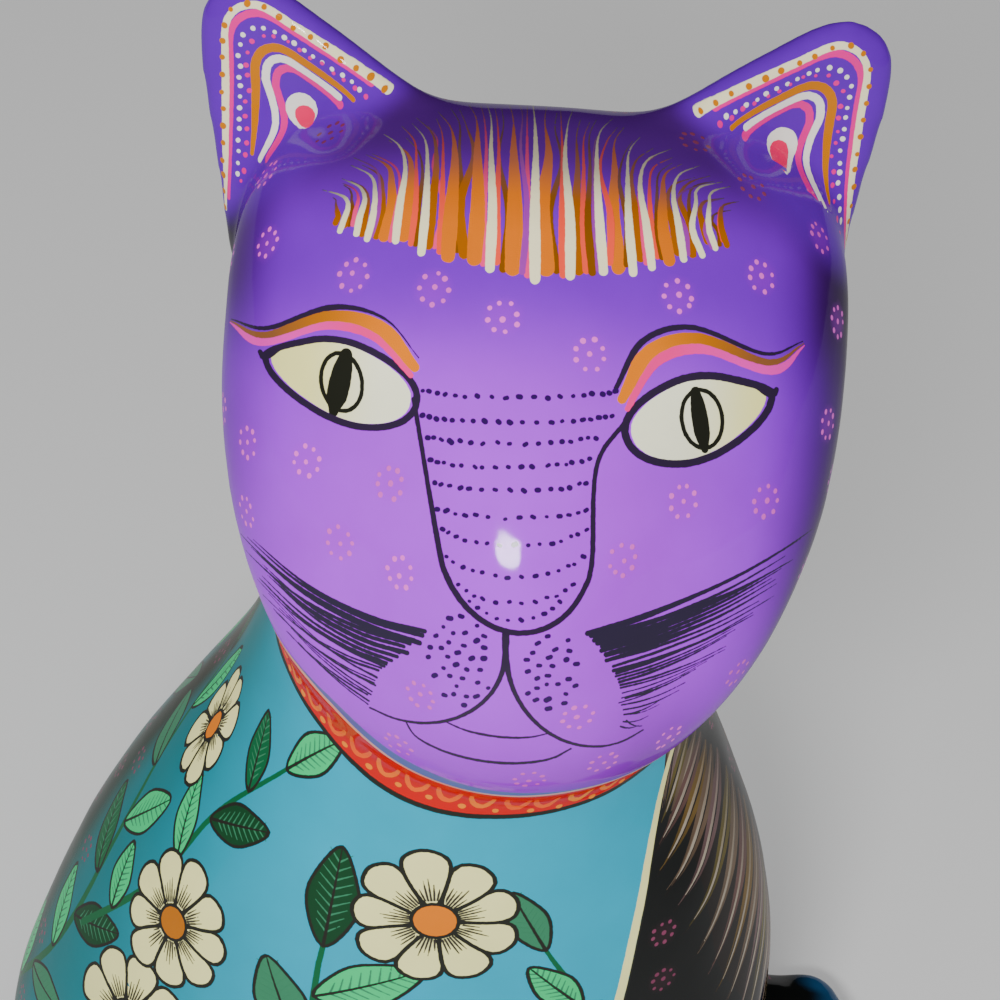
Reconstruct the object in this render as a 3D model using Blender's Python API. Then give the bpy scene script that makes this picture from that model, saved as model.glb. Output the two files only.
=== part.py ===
"""A seated pottery cat, moulded in one piece, its body in profile and its head turned to the side.

The cat sits along +X and its face looks to -Y, sloping back. Metres, +Z up, standing on z = 0.
"""

import math

import bmesh
import bpy
from mathutils import Matrix, Vector

# The head is an egg on a sloping axis. Its widest level lies a little above the eyes.
HEAD_PLACE = Vector((0.002, 0.004, 0.250))
FACE_SLOPE = math.radians(36.5)
HEAD_HALF_WIDTH = 0.0646
HEAD_FRONT = 0.045
HEAD_BACK = 0.050
CROWN_HEIGHT = 0.050
CHIN_LENGTH = 0.093
CROWN_SQUARENESS = 3.4
JAW_SQUARENESS = 2.12

# Relief of the face in the head's own frame: x across it, z up its slope.
EYE_LEVEL = -0.0165
NOSE_START = 0.014
NOSE_LENGTH = 0.050
NOSE_FALL = 0.030
NOSE_HALF_WIDTH = 0.0170
NOSE_RISE = 0.0105
MUZZLE_DROP = 0.060
MUZZLE_SPREAD = 0.013
MUZZLE_RADIUS = 0.024
MUZZLE_RISE = 0.0042
CHIN_DROP = 0.074
CHIN_RADIUS = 0.016
CHIN_RISE = 0.0030
SOCKET_SPREAD = 0.036
SOCKET_RADIUS = 0.019
SOCKET_DEPTH = 0.0022
FOREHEAD_START = -0.006
FOREHEAD_EASE = 0.010
FOREHEAD_FALL = 0.21
RELIEF_EDGE = 0.4

# An ear is a dished plate. Its corners are given across and up from the middle of the head.
EAR_FOOT_OUT = Vector((0.0655, -0.004))
EAR_FOOT_IN = Vector((0.0040, 0.036))
EAR_TIP = Vector((0.0785, 0.0790))
EAR_TIP_RADIUS = 0.0123
EAR_FOOT_RADIUS = 0.006
EAR_THICKNESS = 0.0115
EAR_DISH = 0.0065
EAR_SHIFT = Vector((-0.0020, 0.008, 0.0))
EAR_LEAN = math.radians(8.0)
EAR_TURN = math.radians(14.0)
EAR_LAYERS = 8

# The trunk is a stack of oval sections: height, middle along x, half length, half width.
TRUNK = (
    (-0.010, -0.027, 0.090, 0.054),
    (0.035, -0.025, 0.098, 0.062),
    (0.080, -0.018, 0.092, 0.062),
    (0.117, -0.014, 0.080, 0.059),
    (0.147, -0.011, 0.065, 0.054),
    (0.172, -0.007, 0.053, 0.049),
    (0.212, 0.001, 0.046, 0.045),
)
TRUNK_RINGS = 40
NECK_LEAN = -0.006
LEAN_FROM = 0.100

# Limbs. The second number of a place is how far the pair stands off the middle plane.
HAUNCH_PLACE = Vector((-0.050, 0.037, 0.044))
HAUNCH_RADII = (0.053, 0.031, 0.053)
THIGH_TURN = math.radians(-24.0)
FORELEG_TOP = Vector((0.030, 0.019, 0.128))
FORELEG_FOOT = Vector((0.064, 0.023, 0.006))
FORELEG_TOP_RADIUS = 0.026
FORELEG_FOOT_RADIUS = 0.0185
FOREPAW_PLACE = Vector((0.075, 0.024, 0.011))
FOREPAW_RADII = (0.026, 0.019, 0.017)
HINDPAW_PLACE = Vector((0.006, 0.055, 0.010))
HINDPAW_RADII = (0.038, 0.016, 0.016)
TOES = 4
TOE_RADIUS = 0.0072
TOE_SPREAD = math.radians(38.0)
TOE_STRETCH = 1.5
TOE_SETBACK = 0.9
TOE_FAN = 1.35

# The tail leaves the rump and lies round the far flank. It tapers to a rounded tip.
TAIL_RADIUS = 0.0135
TAIL_TIP_RADIUS = 0.0095
TAIL_MIDDLE = -0.020
TAIL_REACH = (0.088, 0.066)
TAIL_START = math.radians(185.0)
TAIL_END = math.radians(50.0)
TAIL_STATIONS = 30
TAIL_ROUNDING = 0.12
TAIL_LIFT = 0.7

# Skin: how finely the shapes are melted together, how far their joins are softened,
# and the share of triangles that is kept.
VOXEL = 0.0026
TRUNK_SOFTENING = 70
SKIN_SOFTENING = 12
KEEP = 0.136

CLAY_COLOUR = (0.26, 0.13, 0.52, 1.0)
CLAY_ROUGHNESS = 0.16


def new_object(name, shape):
    """Makes an object of a bmesh, in the scene."""
    mesh = bpy.data.meshes.new(name)
    shape.to_mesh(mesh)
    shape.free()
    made = bpy.data.objects.new(name, mesh)
    bpy.context.scene.collection.objects.link(made)
    return made


def paired(place, side):
    """A place on one side of the middle plane."""
    return Vector((place.x, side * place.y, place.z))


def loft(name, rings):
    """Skins rings of equal counts, one after another, and closes both ends."""
    shape = bmesh.new()
    rows = [[shape.verts.new(point) for point in ring] for ring in rings]
    for low, high in zip(rows, rows[1:]):
        for index in range(len(low)):
            after = (index + 1) % len(low)
            shape.faces.new((low[index], low[after], high[after], high[index]))
    shape.faces.new(reversed(rows[0]))
    shape.faces.new(rows[-1])
    bmesh.ops.recalc_face_normals(shape, faces=shape.faces)
    return new_object(name, shape)


def ball(name, place, radii, turn=0.0):
    """An ellipsoid, turned in the cat's middle plane."""
    shape = bmesh.new()
    bmesh.ops.create_uvsphere(shape, u_segments=48, v_segments=24, radius=1.0)
    frame = Matrix.Translation(place) @ Matrix.Rotation(turn, 4, "Y")
    bmesh.ops.transform(shape, matrix=frame @ Matrix.Diagonal((*radii, 1.0)), verts=shape.verts)
    return new_object(name, shape)


def oval(level, middle, half_length, half_width, shift, count=64):
    """A level ring of the trunk or of a leg."""
    ring = []
    for index in range(count):
        angle = 2 * math.pi * index / count
        along = middle + half_length * math.cos(angle)
        ring.append(Vector((along, shift + half_width * math.sin(angle), level)))
    return ring


def section_at(t):
    """The trunk's section at a step t between its named ones, on a smooth curve."""
    last = len(TRUNK) - 1
    index = min(int(t), last - 1)
    part = t - index
    four = [TRUNK[min(max(index + step, 0), last)] for step in (-1, 0, 1, 2)]
    section = []
    for a, b, c, d in zip(*four):
        bend = 2 * a - 5 * b + 4 * c - d
        twist = 3 * b - a - 3 * c + d
        section.append(b + 0.5 * part * (c - a + part * (bend + part * twist)))
    return section


def trunk():
    rings = []
    for step in range(TRUNK_RINGS):
        level, middle, length, width = section_at((len(TRUNK) - 1) * step / (TRUNK_RINGS - 1))
        shift = NECK_LEAN * max(0.0, level - LEAN_FROM) / LEAN_FROM
        rings.append(oval(level, middle, length, width, shift))
    return loft("trunk", rings)


def foreleg(side):
    """A tapering leg whose round top ends inside the chest."""
    rings = []
    steps = 16
    for step in range(steps + 1):
        part = step / steps
        centre = FORELEG_TOP.lerp(FORELEG_FOOT, part)
        radius = FORELEG_TOP_RADIUS + (FORELEG_FOOT_RADIUS - FORELEG_TOP_RADIUS) * part
        rings.append(oval(centre.z, centre.x, radius, radius, side * centre.y, count=32))
    shoulder = ball("shoulder", paired(FORELEG_TOP, side), (FORELEG_TOP_RADIUS,) * 3)
    return [loft("foreleg", rings), shoulder]


def paw(name, place, radii):
    """A low pad with a fan of toes along its front."""
    made = [ball(name, place, radii)]
    toe_radii = (TOE_STRETCH * TOE_RADIUS, TOE_RADIUS, TOE_STRETCH * TOE_RADIUS)
    for toe in range(TOES):
        angle = TOE_SPREAD * (2 * toe / (TOES - 1) - 1)
        reach = Vector((radii[0] * math.cos(angle), TOE_FAN * radii[1] * math.sin(angle), 0.0))
        made.append(ball(f"{name}_toe_{toe}", place + TOE_SETBACK * reach, toe_radii))
    return made


def tail():
    rings = []
    for step in range(TAIL_STATIONS + 1):
        part = step / TAIL_STATIONS
        angle = TAIL_START + (TAIL_END - TAIL_START) * part
        out = Vector((math.cos(angle) / TAIL_REACH[0], math.sin(angle) / TAIL_REACH[1], 0.0)).normalized()
        radius = TAIL_RADIUS + (TAIL_TIP_RADIUS - TAIL_RADIUS) * part
        along = TAIL_MIDDLE + TAIL_REACH[0] * math.cos(angle)
        middle = Vector((along, TAIL_REACH[1] * math.sin(angle), TAIL_LIFT * radius))
        rounding = max(0.0, (part - 1 + TAIL_ROUNDING) / TAIL_ROUNDING)
        radius *= math.sqrt(max(0.02, 1 - rounding ** 2))
        ring = []
        for index in range(20):
            spin = 2 * math.pi * index / 20
            ring.append(middle + radius * (out * math.cos(spin) + Vector((0.0, 0.0, math.sin(spin)))))
        rings.append(ring)
    return loft("tail", rings)


def bell(distance):
    """1 at the middle, falling smoothly to 0 at distance 1."""
    return (1.0 - min(1.0, distance) ** 2) ** 2


def ridge(x):
    """1 along the nose, with a round top and a soft hollow at each side."""
    return bell(abs(x) / (1.9 * NOSE_HALF_WIDTH)) ** 0.85


def face_rise(x, z):
    """How far the face stands proud of the egg at a point across it and up it."""
    drop = EYE_LEVEL - z
    climb = min(1.0, max(0.0, (drop + NOSE_START) / NOSE_LENGTH))
    fall = min(1.0, max(0.0, (drop + NOSE_START - NOSE_LENGTH) / NOSE_FALL))
    rise = NOSE_RISE * climb * math.cos(0.5 * math.pi * fall) ** 1.5 * ridge(x)
    rise += CHIN_RISE * bell(math.hypot(x, drop - CHIN_DROP) / CHIN_RADIUS)
    above = max(0.0, z - FOREHEAD_START)
    rise -= FOREHEAD_FALL * above ** 2 / (above + FOREHEAD_EASE)
    for side in (-1, 1):
        rise += MUZZLE_RISE * bell(math.hypot(x - side * MUZZLE_SPREAD, drop - MUZZLE_DROP) / MUZZLE_RADIUS)
        rise -= SOCKET_DEPTH * bell(math.hypot((x - side * SOCKET_SPREAD) / 1.3, drop) / SOCKET_RADIUS)
    return rise


def head():
    """An egg, squarer above, whose front carries the nose, muzzle, chin and eye sockets."""
    shape = bmesh.new()
    bmesh.ops.create_icosphere(shape, subdivisions=6, radius=1.0)
    for vert in shape.verts:
        x, y, z = vert.co
        power = CROWN_SQUARENESS if z > 0 else JAW_SQUARENESS
        square_radius = max(0.0, 1.0 - abs(z) ** power) ** (1.0 / power)
        swell = square_radius / math.sqrt(max(1e-9, 1.0 - z * z))
        x *= HEAD_HALF_WIDTH * swell
        y *= (HEAD_FRONT if y < 0 else HEAD_BACK) * swell
        z *= CROWN_HEIGHT if z > 0 else CHIN_LENGTH
        if y < 0:
            y -= face_rise(x, z) * min(1.0, -y / (RELIEF_EDGE * HEAD_FRONT))
        vert.co = (x, y, z)
    place = Matrix.Translation(HEAD_PLACE) @ Matrix.Rotation(-FACE_SLOPE, 4, "X")
    bmesh.ops.transform(shape, matrix=place, verts=shape.verts)
    return new_object("head", shape)


def rounded_triangle(corners, radii, steps=10):
    """The outline of a triangle with an arc at each corner."""
    outline = []
    for index, here in enumerate(corners):
        before = (corners[index - 1] - here).normalized()
        after = (corners[(index + 1) % len(corners)] - here).normalized()
        half = 0.5 * before.angle(after)
        centre = here + (before + after).normalized() * radii[index] / math.sin(half)
        start = here + before * radii[index] / math.tan(half) - centre
        turn = (math.pi - 2 * half) * (1 if before.cross(after) < 0 else -1)
        for step in range(steps + 1):
            outline.append(centre + Matrix.Rotation(turn * step / steps, 2) @ start)
    return outline


def ear(side):
    """A plate of shrinking copies of its outline: round at the rim, dished in front."""
    corners = [EAR_FOOT_IN, EAR_FOOT_OUT, EAR_TIP]
    outline = rounded_triangle(corners, [EAR_FOOT_RADIUS, EAR_FOOT_RADIUS, EAR_TIP_RADIUS])
    middle = sum(corners, Vector((0.0, 0.0))) / len(corners)
    rings = []
    for layer in range(-EAR_LAYERS, EAR_LAYERS + 1):
        reach = math.cos(0.5 * math.pi * layer / (EAR_LAYERS + 0.5))
        half = 0.5 * EAR_THICKNESS * min(1.0, abs(layer) / 2)
        depth = math.copysign(half, layer) + EAR_DISH * bell(reach)
        ring = []
        for point in outline:
            flat = middle + (point - middle) * reach
            ring.append(Vector((side * flat.x, depth, flat.y)))
        rings.append(ring)
    made = loft("ear", rings)
    lean = Matrix.Rotation(-EAR_LEAN, 4, "X") @ Matrix.Rotation(side * EAR_TURN, 4, "Z")
    made.data.transform(Matrix.Translation(HEAD_PLACE + EAR_SHIFT) @ lean)
    return made


def melt(name, pieces, softening):
    """Joins overlapping pieces into one skin and softens the joins between them."""
    shape = bmesh.new()
    for piece in pieces:
        shape.from_mesh(piece.data)
        bpy.data.objects.remove(piece)
    whole = new_object(name, shape)
    skin = whole.modifiers.new("skin", "REMESH")
    skin.mode = "VOXEL"
    skin.voxel_size = VOXEL
    soften = whole.modifiers.new("soften", "SMOOTH")
    soften.factor = 0.5
    soften.iterations = softening
    return whole


def settled(melted):
    """Replaces a melted piece by its finished skin, ready to be melted again."""
    bpy.context.view_layer.update()
    graph = bpy.context.evaluated_depsgraph_get()
    melted.data = bpy.data.meshes.new_from_object(melted.evaluated_get(graph))
    melted.modifiers.clear()
    return melted


def floor_cutter():
    """A box under z = 0 that cuts the underside flat."""
    shape = bmesh.new()
    bmesh.ops.create_cube(shape, size=1.0)
    frame = Matrix.Translation((0.0, 0.0, -0.05)) @ Matrix.Diagonal((0.5, 0.5, 0.1, 1.0))
    bmesh.ops.transform(shape, matrix=frame, verts=shape.verts)
    box = new_object("floor_cutter", shape)
    box.hide_render = True
    box.display_type = "WIRE"
    return box


def centre(whole):
    """Moves the finished cat sideways, so that its box is centred over the origin."""
    bpy.context.view_layer.update()
    finished = whole.evaluated_get(bpy.context.evaluated_depsgraph_get())
    corners = [Vector(corner) for corner in finished.bound_box]
    for axis in (0, 1):
        places = [corner[axis] for corner in corners]
        whole.location[axis] = -0.5 * (min(places) + max(places))


def glazed_clay():
    """The colour that most of the head is painted, under a clear varnish."""
    clay = bpy.data.materials.new("painted_clay")
    clay.use_nodes = True
    shader = clay.node_tree.nodes["Principled BSDF"]
    shader.inputs["Base Color"].default_value = CLAY_COLOUR
    shader.inputs["Roughness"].default_value = CLAY_ROUGHNESS
    shader.inputs["Metallic"].default_value = 0.0
    return clay


def cat():
    """Melts the soft masses of the trunk first, then adds what keeps a crisper form."""
    masses = [trunk()]
    details = [head(), tail()]
    for side in (-1, 1):
        masses.append(ball("haunch", paired(HAUNCH_PLACE, side), HAUNCH_RADII, THIGH_TURN))
        masses += foreleg(side)
        details += paw("forepaw", paired(FOREPAW_PLACE, side), FOREPAW_RADII)
        details += paw("hindpaw", paired(HINDPAW_PLACE, side), HINDPAW_RADII)
        details.append(ear(side))
    body = settled(melt("body", masses, TRUNK_SOFTENING))
    whole = melt("pottery_cat", [body] + details, SKIN_SOFTENING)
    thin = whole.modifiers.new("thin", "DECIMATE")
    thin.ratio = KEEP
    cut = whole.modifiers.new("underside", "BOOLEAN")
    cut.operation = "DIFFERENCE"
    cut.object = floor_cutter()
    whole.data.materials.append(glazed_clay())
    centre(whole)
    return whole


for old in list(bpy.data.objects):
    bpy.data.objects.remove(old)
cat()
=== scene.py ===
"""The painted pottery cat at its finest: the moulded body, its brushwork, and the varnish over it."""

import math

import bmesh
import bpy
import numpy as np
from mathutils import Matrix, Vector, kdtree


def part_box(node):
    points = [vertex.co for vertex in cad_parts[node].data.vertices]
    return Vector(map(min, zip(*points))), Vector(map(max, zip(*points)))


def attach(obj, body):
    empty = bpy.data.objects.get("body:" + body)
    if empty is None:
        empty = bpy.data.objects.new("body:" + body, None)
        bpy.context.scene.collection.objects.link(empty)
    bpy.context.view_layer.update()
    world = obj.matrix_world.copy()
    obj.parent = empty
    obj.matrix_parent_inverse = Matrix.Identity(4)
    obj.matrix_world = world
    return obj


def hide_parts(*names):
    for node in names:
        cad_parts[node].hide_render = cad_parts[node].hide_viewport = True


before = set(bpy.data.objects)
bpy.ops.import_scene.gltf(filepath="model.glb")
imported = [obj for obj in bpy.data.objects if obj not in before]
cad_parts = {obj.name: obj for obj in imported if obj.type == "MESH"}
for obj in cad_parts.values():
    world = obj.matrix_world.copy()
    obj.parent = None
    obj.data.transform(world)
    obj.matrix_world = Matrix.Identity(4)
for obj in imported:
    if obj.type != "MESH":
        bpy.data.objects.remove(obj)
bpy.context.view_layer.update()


# ---------------------------------------------------------------------------------------------
# The moulded cat. Press-moulded red clay in one piece: trunk, haunches, legs, tail, paws, head
# and ears are joined while soft, the joins are wiped smooth with a wet thumb, and the foot is
# cut flat. The same named sizes as the solid's, in metres, with a finer skin.

HEAD_PLACE = Vector((0.002, 0.004, 0.250))
FACE_SLOPE = math.radians(36.5)
HEAD_HALF_WIDTH = 0.0646
HEAD_FRONT = 0.045
HEAD_BACK = 0.050
CROWN_HEIGHT = 0.050
CHIN_LENGTH = 0.093
CROWN_SQUARENESS = 3.4
JAW_SQUARENESS = 2.12

EYE_LEVEL = -0.0165
NOSE_START = 0.014
NOSE_LENGTH = 0.050
NOSE_FALL = 0.030
NOSE_HALF_WIDTH = 0.0170
NOSE_RISE = 0.0105
MUZZLE_DROP = 0.060
MUZZLE_SPREAD = 0.013
MUZZLE_RADIUS = 0.024
MUZZLE_RISE = 0.0042
CHIN_DROP = 0.074
CHIN_RADIUS = 0.016
CHIN_RISE = 0.0030
SOCKET_SPREAD = 0.036
SOCKET_RADIUS = 0.019
SOCKET_DEPTH = 0.0022
FOREHEAD_START = -0.006
FOREHEAD_EASE = 0.010
FOREHEAD_FALL = 0.21
RELIEF_EDGE = 0.4

EAR_FOOT_OUT = Vector((0.0655, -0.004))
EAR_FOOT_IN = Vector((0.0040, 0.036))
EAR_TIP = Vector((0.0785, 0.0790))
EAR_TIP_RADIUS = 0.0123
EAR_FOOT_RADIUS = 0.006
EAR_THICKNESS = 0.0115
EAR_DISH = 0.0065
EAR_SHIFT = Vector((-0.0020, 0.008, 0.0))
EAR_LEAN = math.radians(8.0)
EAR_TURN = math.radians(14.0)
EAR_LAYERS = 8

TRUNK = (
    (-0.010, -0.027, 0.090, 0.054),
    (0.035, -0.025, 0.098, 0.062),
    (0.080, -0.018, 0.092, 0.062),
    (0.117, -0.014, 0.080, 0.059),
    (0.147, -0.011, 0.065, 0.054),
    (0.172, -0.007, 0.053, 0.049),
    (0.212, 0.001, 0.046, 0.045),
)
TRUNK_RINGS = 40
NECK_LEAN = -0.006
LEAN_FROM = 0.100
HAUNCH_PLACE = Vector((-0.050, 0.037, 0.044))
HAUNCH_RADII = (0.053, 0.031, 0.053)
THIGH_TURN = math.radians(-24.0)
FORELEG_TOP = Vector((0.030, 0.019, 0.128))
FORELEG_FOOT = Vector((0.064, 0.023, 0.006))
FORELEG_TOP_RADIUS = 0.026
FORELEG_FOOT_RADIUS = 0.0185
FOREPAW_PLACE = Vector((0.075, 0.024, 0.011))
FOREPAW_RADII = (0.026, 0.019, 0.017)
HINDPAW_PLACE = Vector((0.006, 0.055, 0.010))
HINDPAW_RADII = (0.038, 0.016, 0.016)
TOES = 4
TOE_RADIUS = 0.0072
TOE_SPREAD = math.radians(38.0)
TOE_STRETCH = 1.5
TOE_SETBACK = 0.9
TOE_FAN = 1.35
TAIL_RADIUS = 0.0135
TAIL_TIP_RADIUS = 0.0095
TAIL_MIDDLE = -0.020
TAIL_REACH = (0.088, 0.066)
TAIL_START = math.radians(185.0)
TAIL_END = math.radians(50.0)
TAIL_STATIONS = 30
TAIL_ROUNDING = 0.12
TAIL_LIFT = 0.7

TRUNK_GRAIN = 0.0026
TRUNK_WIPING = 70
SKIN_GRAIN = 0.00155
SKIN_WIPING = 34


def new_object(name, shape):
    mesh = bpy.data.meshes.new(name)
    shape.to_mesh(mesh)
    shape.free()
    made = bpy.data.objects.new(name, mesh)
    bpy.context.scene.collection.objects.link(made)
    return made


def paired(place, side):
    return Vector((place.x, side * place.y, place.z))


def loft(name, rings):
    """Skins rings of equal counts, one after another, and closes both ends."""
    shape = bmesh.new()
    rows = [[shape.verts.new(point) for point in ring] for ring in rings]
    for low, high in zip(rows, rows[1:]):
        for index in range(len(low)):
            after = (index + 1) % len(low)
            shape.faces.new((low[index], low[after], high[after], high[index]))
    shape.faces.new(reversed(rows[0]))
    shape.faces.new(rows[-1])
    bmesh.ops.recalc_face_normals(shape, faces=shape.faces)
    return new_object(name, shape)


def ball(name, place, radii, turn=0.0):
    shape = bmesh.new()
    bmesh.ops.create_uvsphere(shape, u_segments=48, v_segments=24, radius=1.0)
    turned = Matrix.Translation(place) @ Matrix.Rotation(turn, 4, "Y")
    bmesh.ops.transform(shape, matrix=turned @ Matrix.Diagonal((*radii, 1.0)), verts=shape.verts)
    return new_object(name, shape)


def oval(level, middle, half_length, half_width, shift, count=64):
    ring = []
    for index in range(count):
        angle = 2 * math.pi * index / count
        along = middle + half_length * math.cos(angle)
        ring.append(Vector((along, shift + half_width * math.sin(angle), level)))
    return ring


def section_at(t):
    """The trunk's section at a step t between its named ones, on a smooth curve."""
    last = len(TRUNK) - 1
    index = min(int(t), last - 1)
    part = t - index
    four = [TRUNK[min(max(index + step, 0), last)] for step in (-1, 0, 1, 2)]
    section = []
    for a, b, c, d in zip(*four):
        bend = 2 * a - 5 * b + 4 * c - d
        twist = 3 * b - a - 3 * c + d
        section.append(b + 0.5 * part * (c - a + part * (bend + part * twist)))
    return section


def trunk():
    rings = []
    for step in range(TRUNK_RINGS):
        level, middle, length, width = section_at((len(TRUNK) - 1) * step / (TRUNK_RINGS - 1))
        shift = NECK_LEAN * max(0.0, level - LEAN_FROM) / LEAN_FROM
        rings.append(oval(level, middle, length, width, shift))
    return loft("trunk", rings)


def foreleg(side):
    rings = []
    steps = 16
    for step in range(steps + 1):
        part = step / steps
        centre = FORELEG_TOP.lerp(FORELEG_FOOT, part)
        radius = FORELEG_TOP_RADIUS + (FORELEG_FOOT_RADIUS - FORELEG_TOP_RADIUS) * part
        rings.append(oval(centre.z, centre.x, radius, radius, side * centre.y, count=32))
    shoulder = ball("shoulder", paired(FORELEG_TOP, side), (FORELEG_TOP_RADIUS,) * 3)
    return [loft("foreleg", rings), shoulder]


def paw(place, radii):
    """A low pad with a fan of toes along its front."""
    made = [ball("pad", place, radii)]
    toe_radii = (TOE_STRETCH * TOE_RADIUS, TOE_RADIUS, TOE_STRETCH * TOE_RADIUS)
    for toe in range(TOES):
        angle = TOE_SPREAD * (2 * toe / (TOES - 1) - 1)
        reach = Vector((radii[0] * math.cos(angle), TOE_FAN * radii[1] * math.sin(angle), 0.0))
        made.append(ball("toe", place + TOE_SETBACK * reach, toe_radii))
    return made


def tail():
    rings = []
    for step in range(TAIL_STATIONS + 1):
        part = step / TAIL_STATIONS
        angle = TAIL_START + (TAIL_END - TAIL_START) * part
        out = Vector((math.cos(angle) / TAIL_REACH[0], math.sin(angle) / TAIL_REACH[1], 0.0)).normalized()
        radius = TAIL_RADIUS + (TAIL_TIP_RADIUS - TAIL_RADIUS) * part
        along = TAIL_MIDDLE + TAIL_REACH[0] * math.cos(angle)
        middle = Vector((along, TAIL_REACH[1] * math.sin(angle), TAIL_LIFT * radius))
        rounding = max(0.0, (part - 1 + TAIL_ROUNDING) / TAIL_ROUNDING)
        radius *= math.sqrt(max(0.02, 1 - rounding ** 2))
        ring = []
        for index in range(20):
            spin = 2 * math.pi * index / 20
            ring.append(middle + radius * (out * math.cos(spin) + Vector((0.0, 0.0, math.sin(spin)))))
        rings.append(ring)
    return loft("tail", rings)


def bell(distance):
    """1 at the middle, falling smoothly to 0 at distance 1."""
    return (1.0 - min(1.0, distance) ** 2) ** 2


def face_rise(x, z):
    """How far the face stands proud of the egg at a point across it and up it."""
    drop = EYE_LEVEL - z
    climb = min(1.0, max(0.0, (drop + NOSE_START) / NOSE_LENGTH))
    fall = min(1.0, max(0.0, (drop + NOSE_START - NOSE_LENGTH) / NOSE_FALL))
    ridge = bell(abs(x) / (1.9 * NOSE_HALF_WIDTH)) ** 0.85
    rise = NOSE_RISE * climb * math.cos(0.5 * math.pi * fall) ** 1.5 * ridge
    rise += CHIN_RISE * bell(math.hypot(x, drop - CHIN_DROP) / CHIN_RADIUS)
    above = max(0.0, z - FOREHEAD_START)
    rise -= FOREHEAD_FALL * above ** 2 / (above + FOREHEAD_EASE)
    for side in (-1, 1):
        rise += MUZZLE_RISE * bell(math.hypot(x - side * MUZZLE_SPREAD, drop - MUZZLE_DROP) / MUZZLE_RADIUS)
        rise -= SOCKET_DEPTH * bell(math.hypot((x - side * SOCKET_SPREAD) / 1.3, drop) / SOCKET_RADIUS)
    return rise


def head():
    """An egg, squarer above, whose front carries the nose, muzzle, chin and eye sockets."""
    shape = bmesh.new()
    bmesh.ops.create_icosphere(shape, subdivisions=7, radius=1.0)
    for vert in shape.verts:
        x, y, z = vert.co
        power = CROWN_SQUARENESS if z > 0 else JAW_SQUARENESS
        square_radius = max(0.0, 1.0 - abs(z) ** power) ** (1.0 / power)
        swell = square_radius / math.sqrt(max(1e-9, 1.0 - z * z))
        x *= HEAD_HALF_WIDTH * swell
        y *= (HEAD_FRONT if y < 0 else HEAD_BACK) * swell
        z *= CROWN_HEIGHT if z > 0 else CHIN_LENGTH
        if y < 0:
            y -= face_rise(x, z) * min(1.0, -y / (RELIEF_EDGE * HEAD_FRONT))
        vert.co = (x, y, z)
    place = Matrix.Translation(HEAD_PLACE) @ Matrix.Rotation(-FACE_SLOPE, 4, "X")
    bmesh.ops.transform(shape, matrix=place, verts=shape.verts)
    return new_object("head", shape)


def rounded_triangle(corners, radii, steps=10):
    outline = []
    for index, here in enumerate(corners):
        before = (corners[index - 1] - here).normalized()
        after = (corners[(index + 1) % len(corners)] - here).normalized()
        half = 0.5 * before.angle(after)
        centre = here + (before + after).normalized() * radii[index] / math.sin(half)
        start = here + before * radii[index] / math.tan(half) - centre
        turn = (math.pi - 2 * half) * (1 if before.cross(after) < 0 else -1)
        for step in range(steps + 1):
            outline.append(centre + Matrix.Rotation(turn * step / steps, 2) @ start)
    return outline


def ear_stance(side):
    """Where an ear's own flat frame stands on the head."""
    lean = Matrix.Rotation(-EAR_LEAN, 4, "X") @ Matrix.Rotation(side * EAR_TURN, 4, "Z")
    return Matrix.Translation(HEAD_PLACE + EAR_SHIFT) @ lean


def ear(side):
    """A plate of shrinking copies of its outline: round at the rim, dished in front."""
    corners = [EAR_FOOT_IN, EAR_FOOT_OUT, EAR_TIP]
    outline = rounded_triangle(corners, [EAR_FOOT_RADIUS, EAR_FOOT_RADIUS, EAR_TIP_RADIUS])
    middle = sum(corners, Vector((0.0, 0.0))) / len(corners)
    rings = []
    for layer in range(-EAR_LAYERS, EAR_LAYERS + 1):
        reach = math.cos(0.5 * math.pi * layer / (EAR_LAYERS + 0.5))
        half = 0.5 * EAR_THICKNESS * min(1.0, abs(layer) / 2)
        depth = math.copysign(half, layer) + EAR_DISH * bell(reach)
        rings.append([])
        for point in outline:
            flat = middle + (point - middle) * reach
            rings[-1].append(Vector((side * flat.x, depth, flat.y)))
    made = loft("ear", rings)
    made.data.transform(ear_stance(side))
    return made


def joined(name, pieces, grain):
    """Presses overlapping pieces into one skin of even grain."""
    shape = bmesh.new()
    for piece in pieces:
        shape.from_mesh(piece.data)
        bpy.data.objects.remove(piece)
    whole = new_object(name, shape)
    skin = whole.modifiers.new("skin", "REMESH")
    skin.mode = "VOXEL"
    skin.voxel_size = grain
    return whole


def as_mesh(made):
    """Turns what an object's modifiers make of it into its plain mesh."""
    bpy.context.view_layer.update()
    graph = bpy.context.evaluated_depsgraph_get()
    made.data = bpy.data.meshes.new_from_object(made.evaluated_get(graph))
    made.modifiers.clear()
    return made


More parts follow.
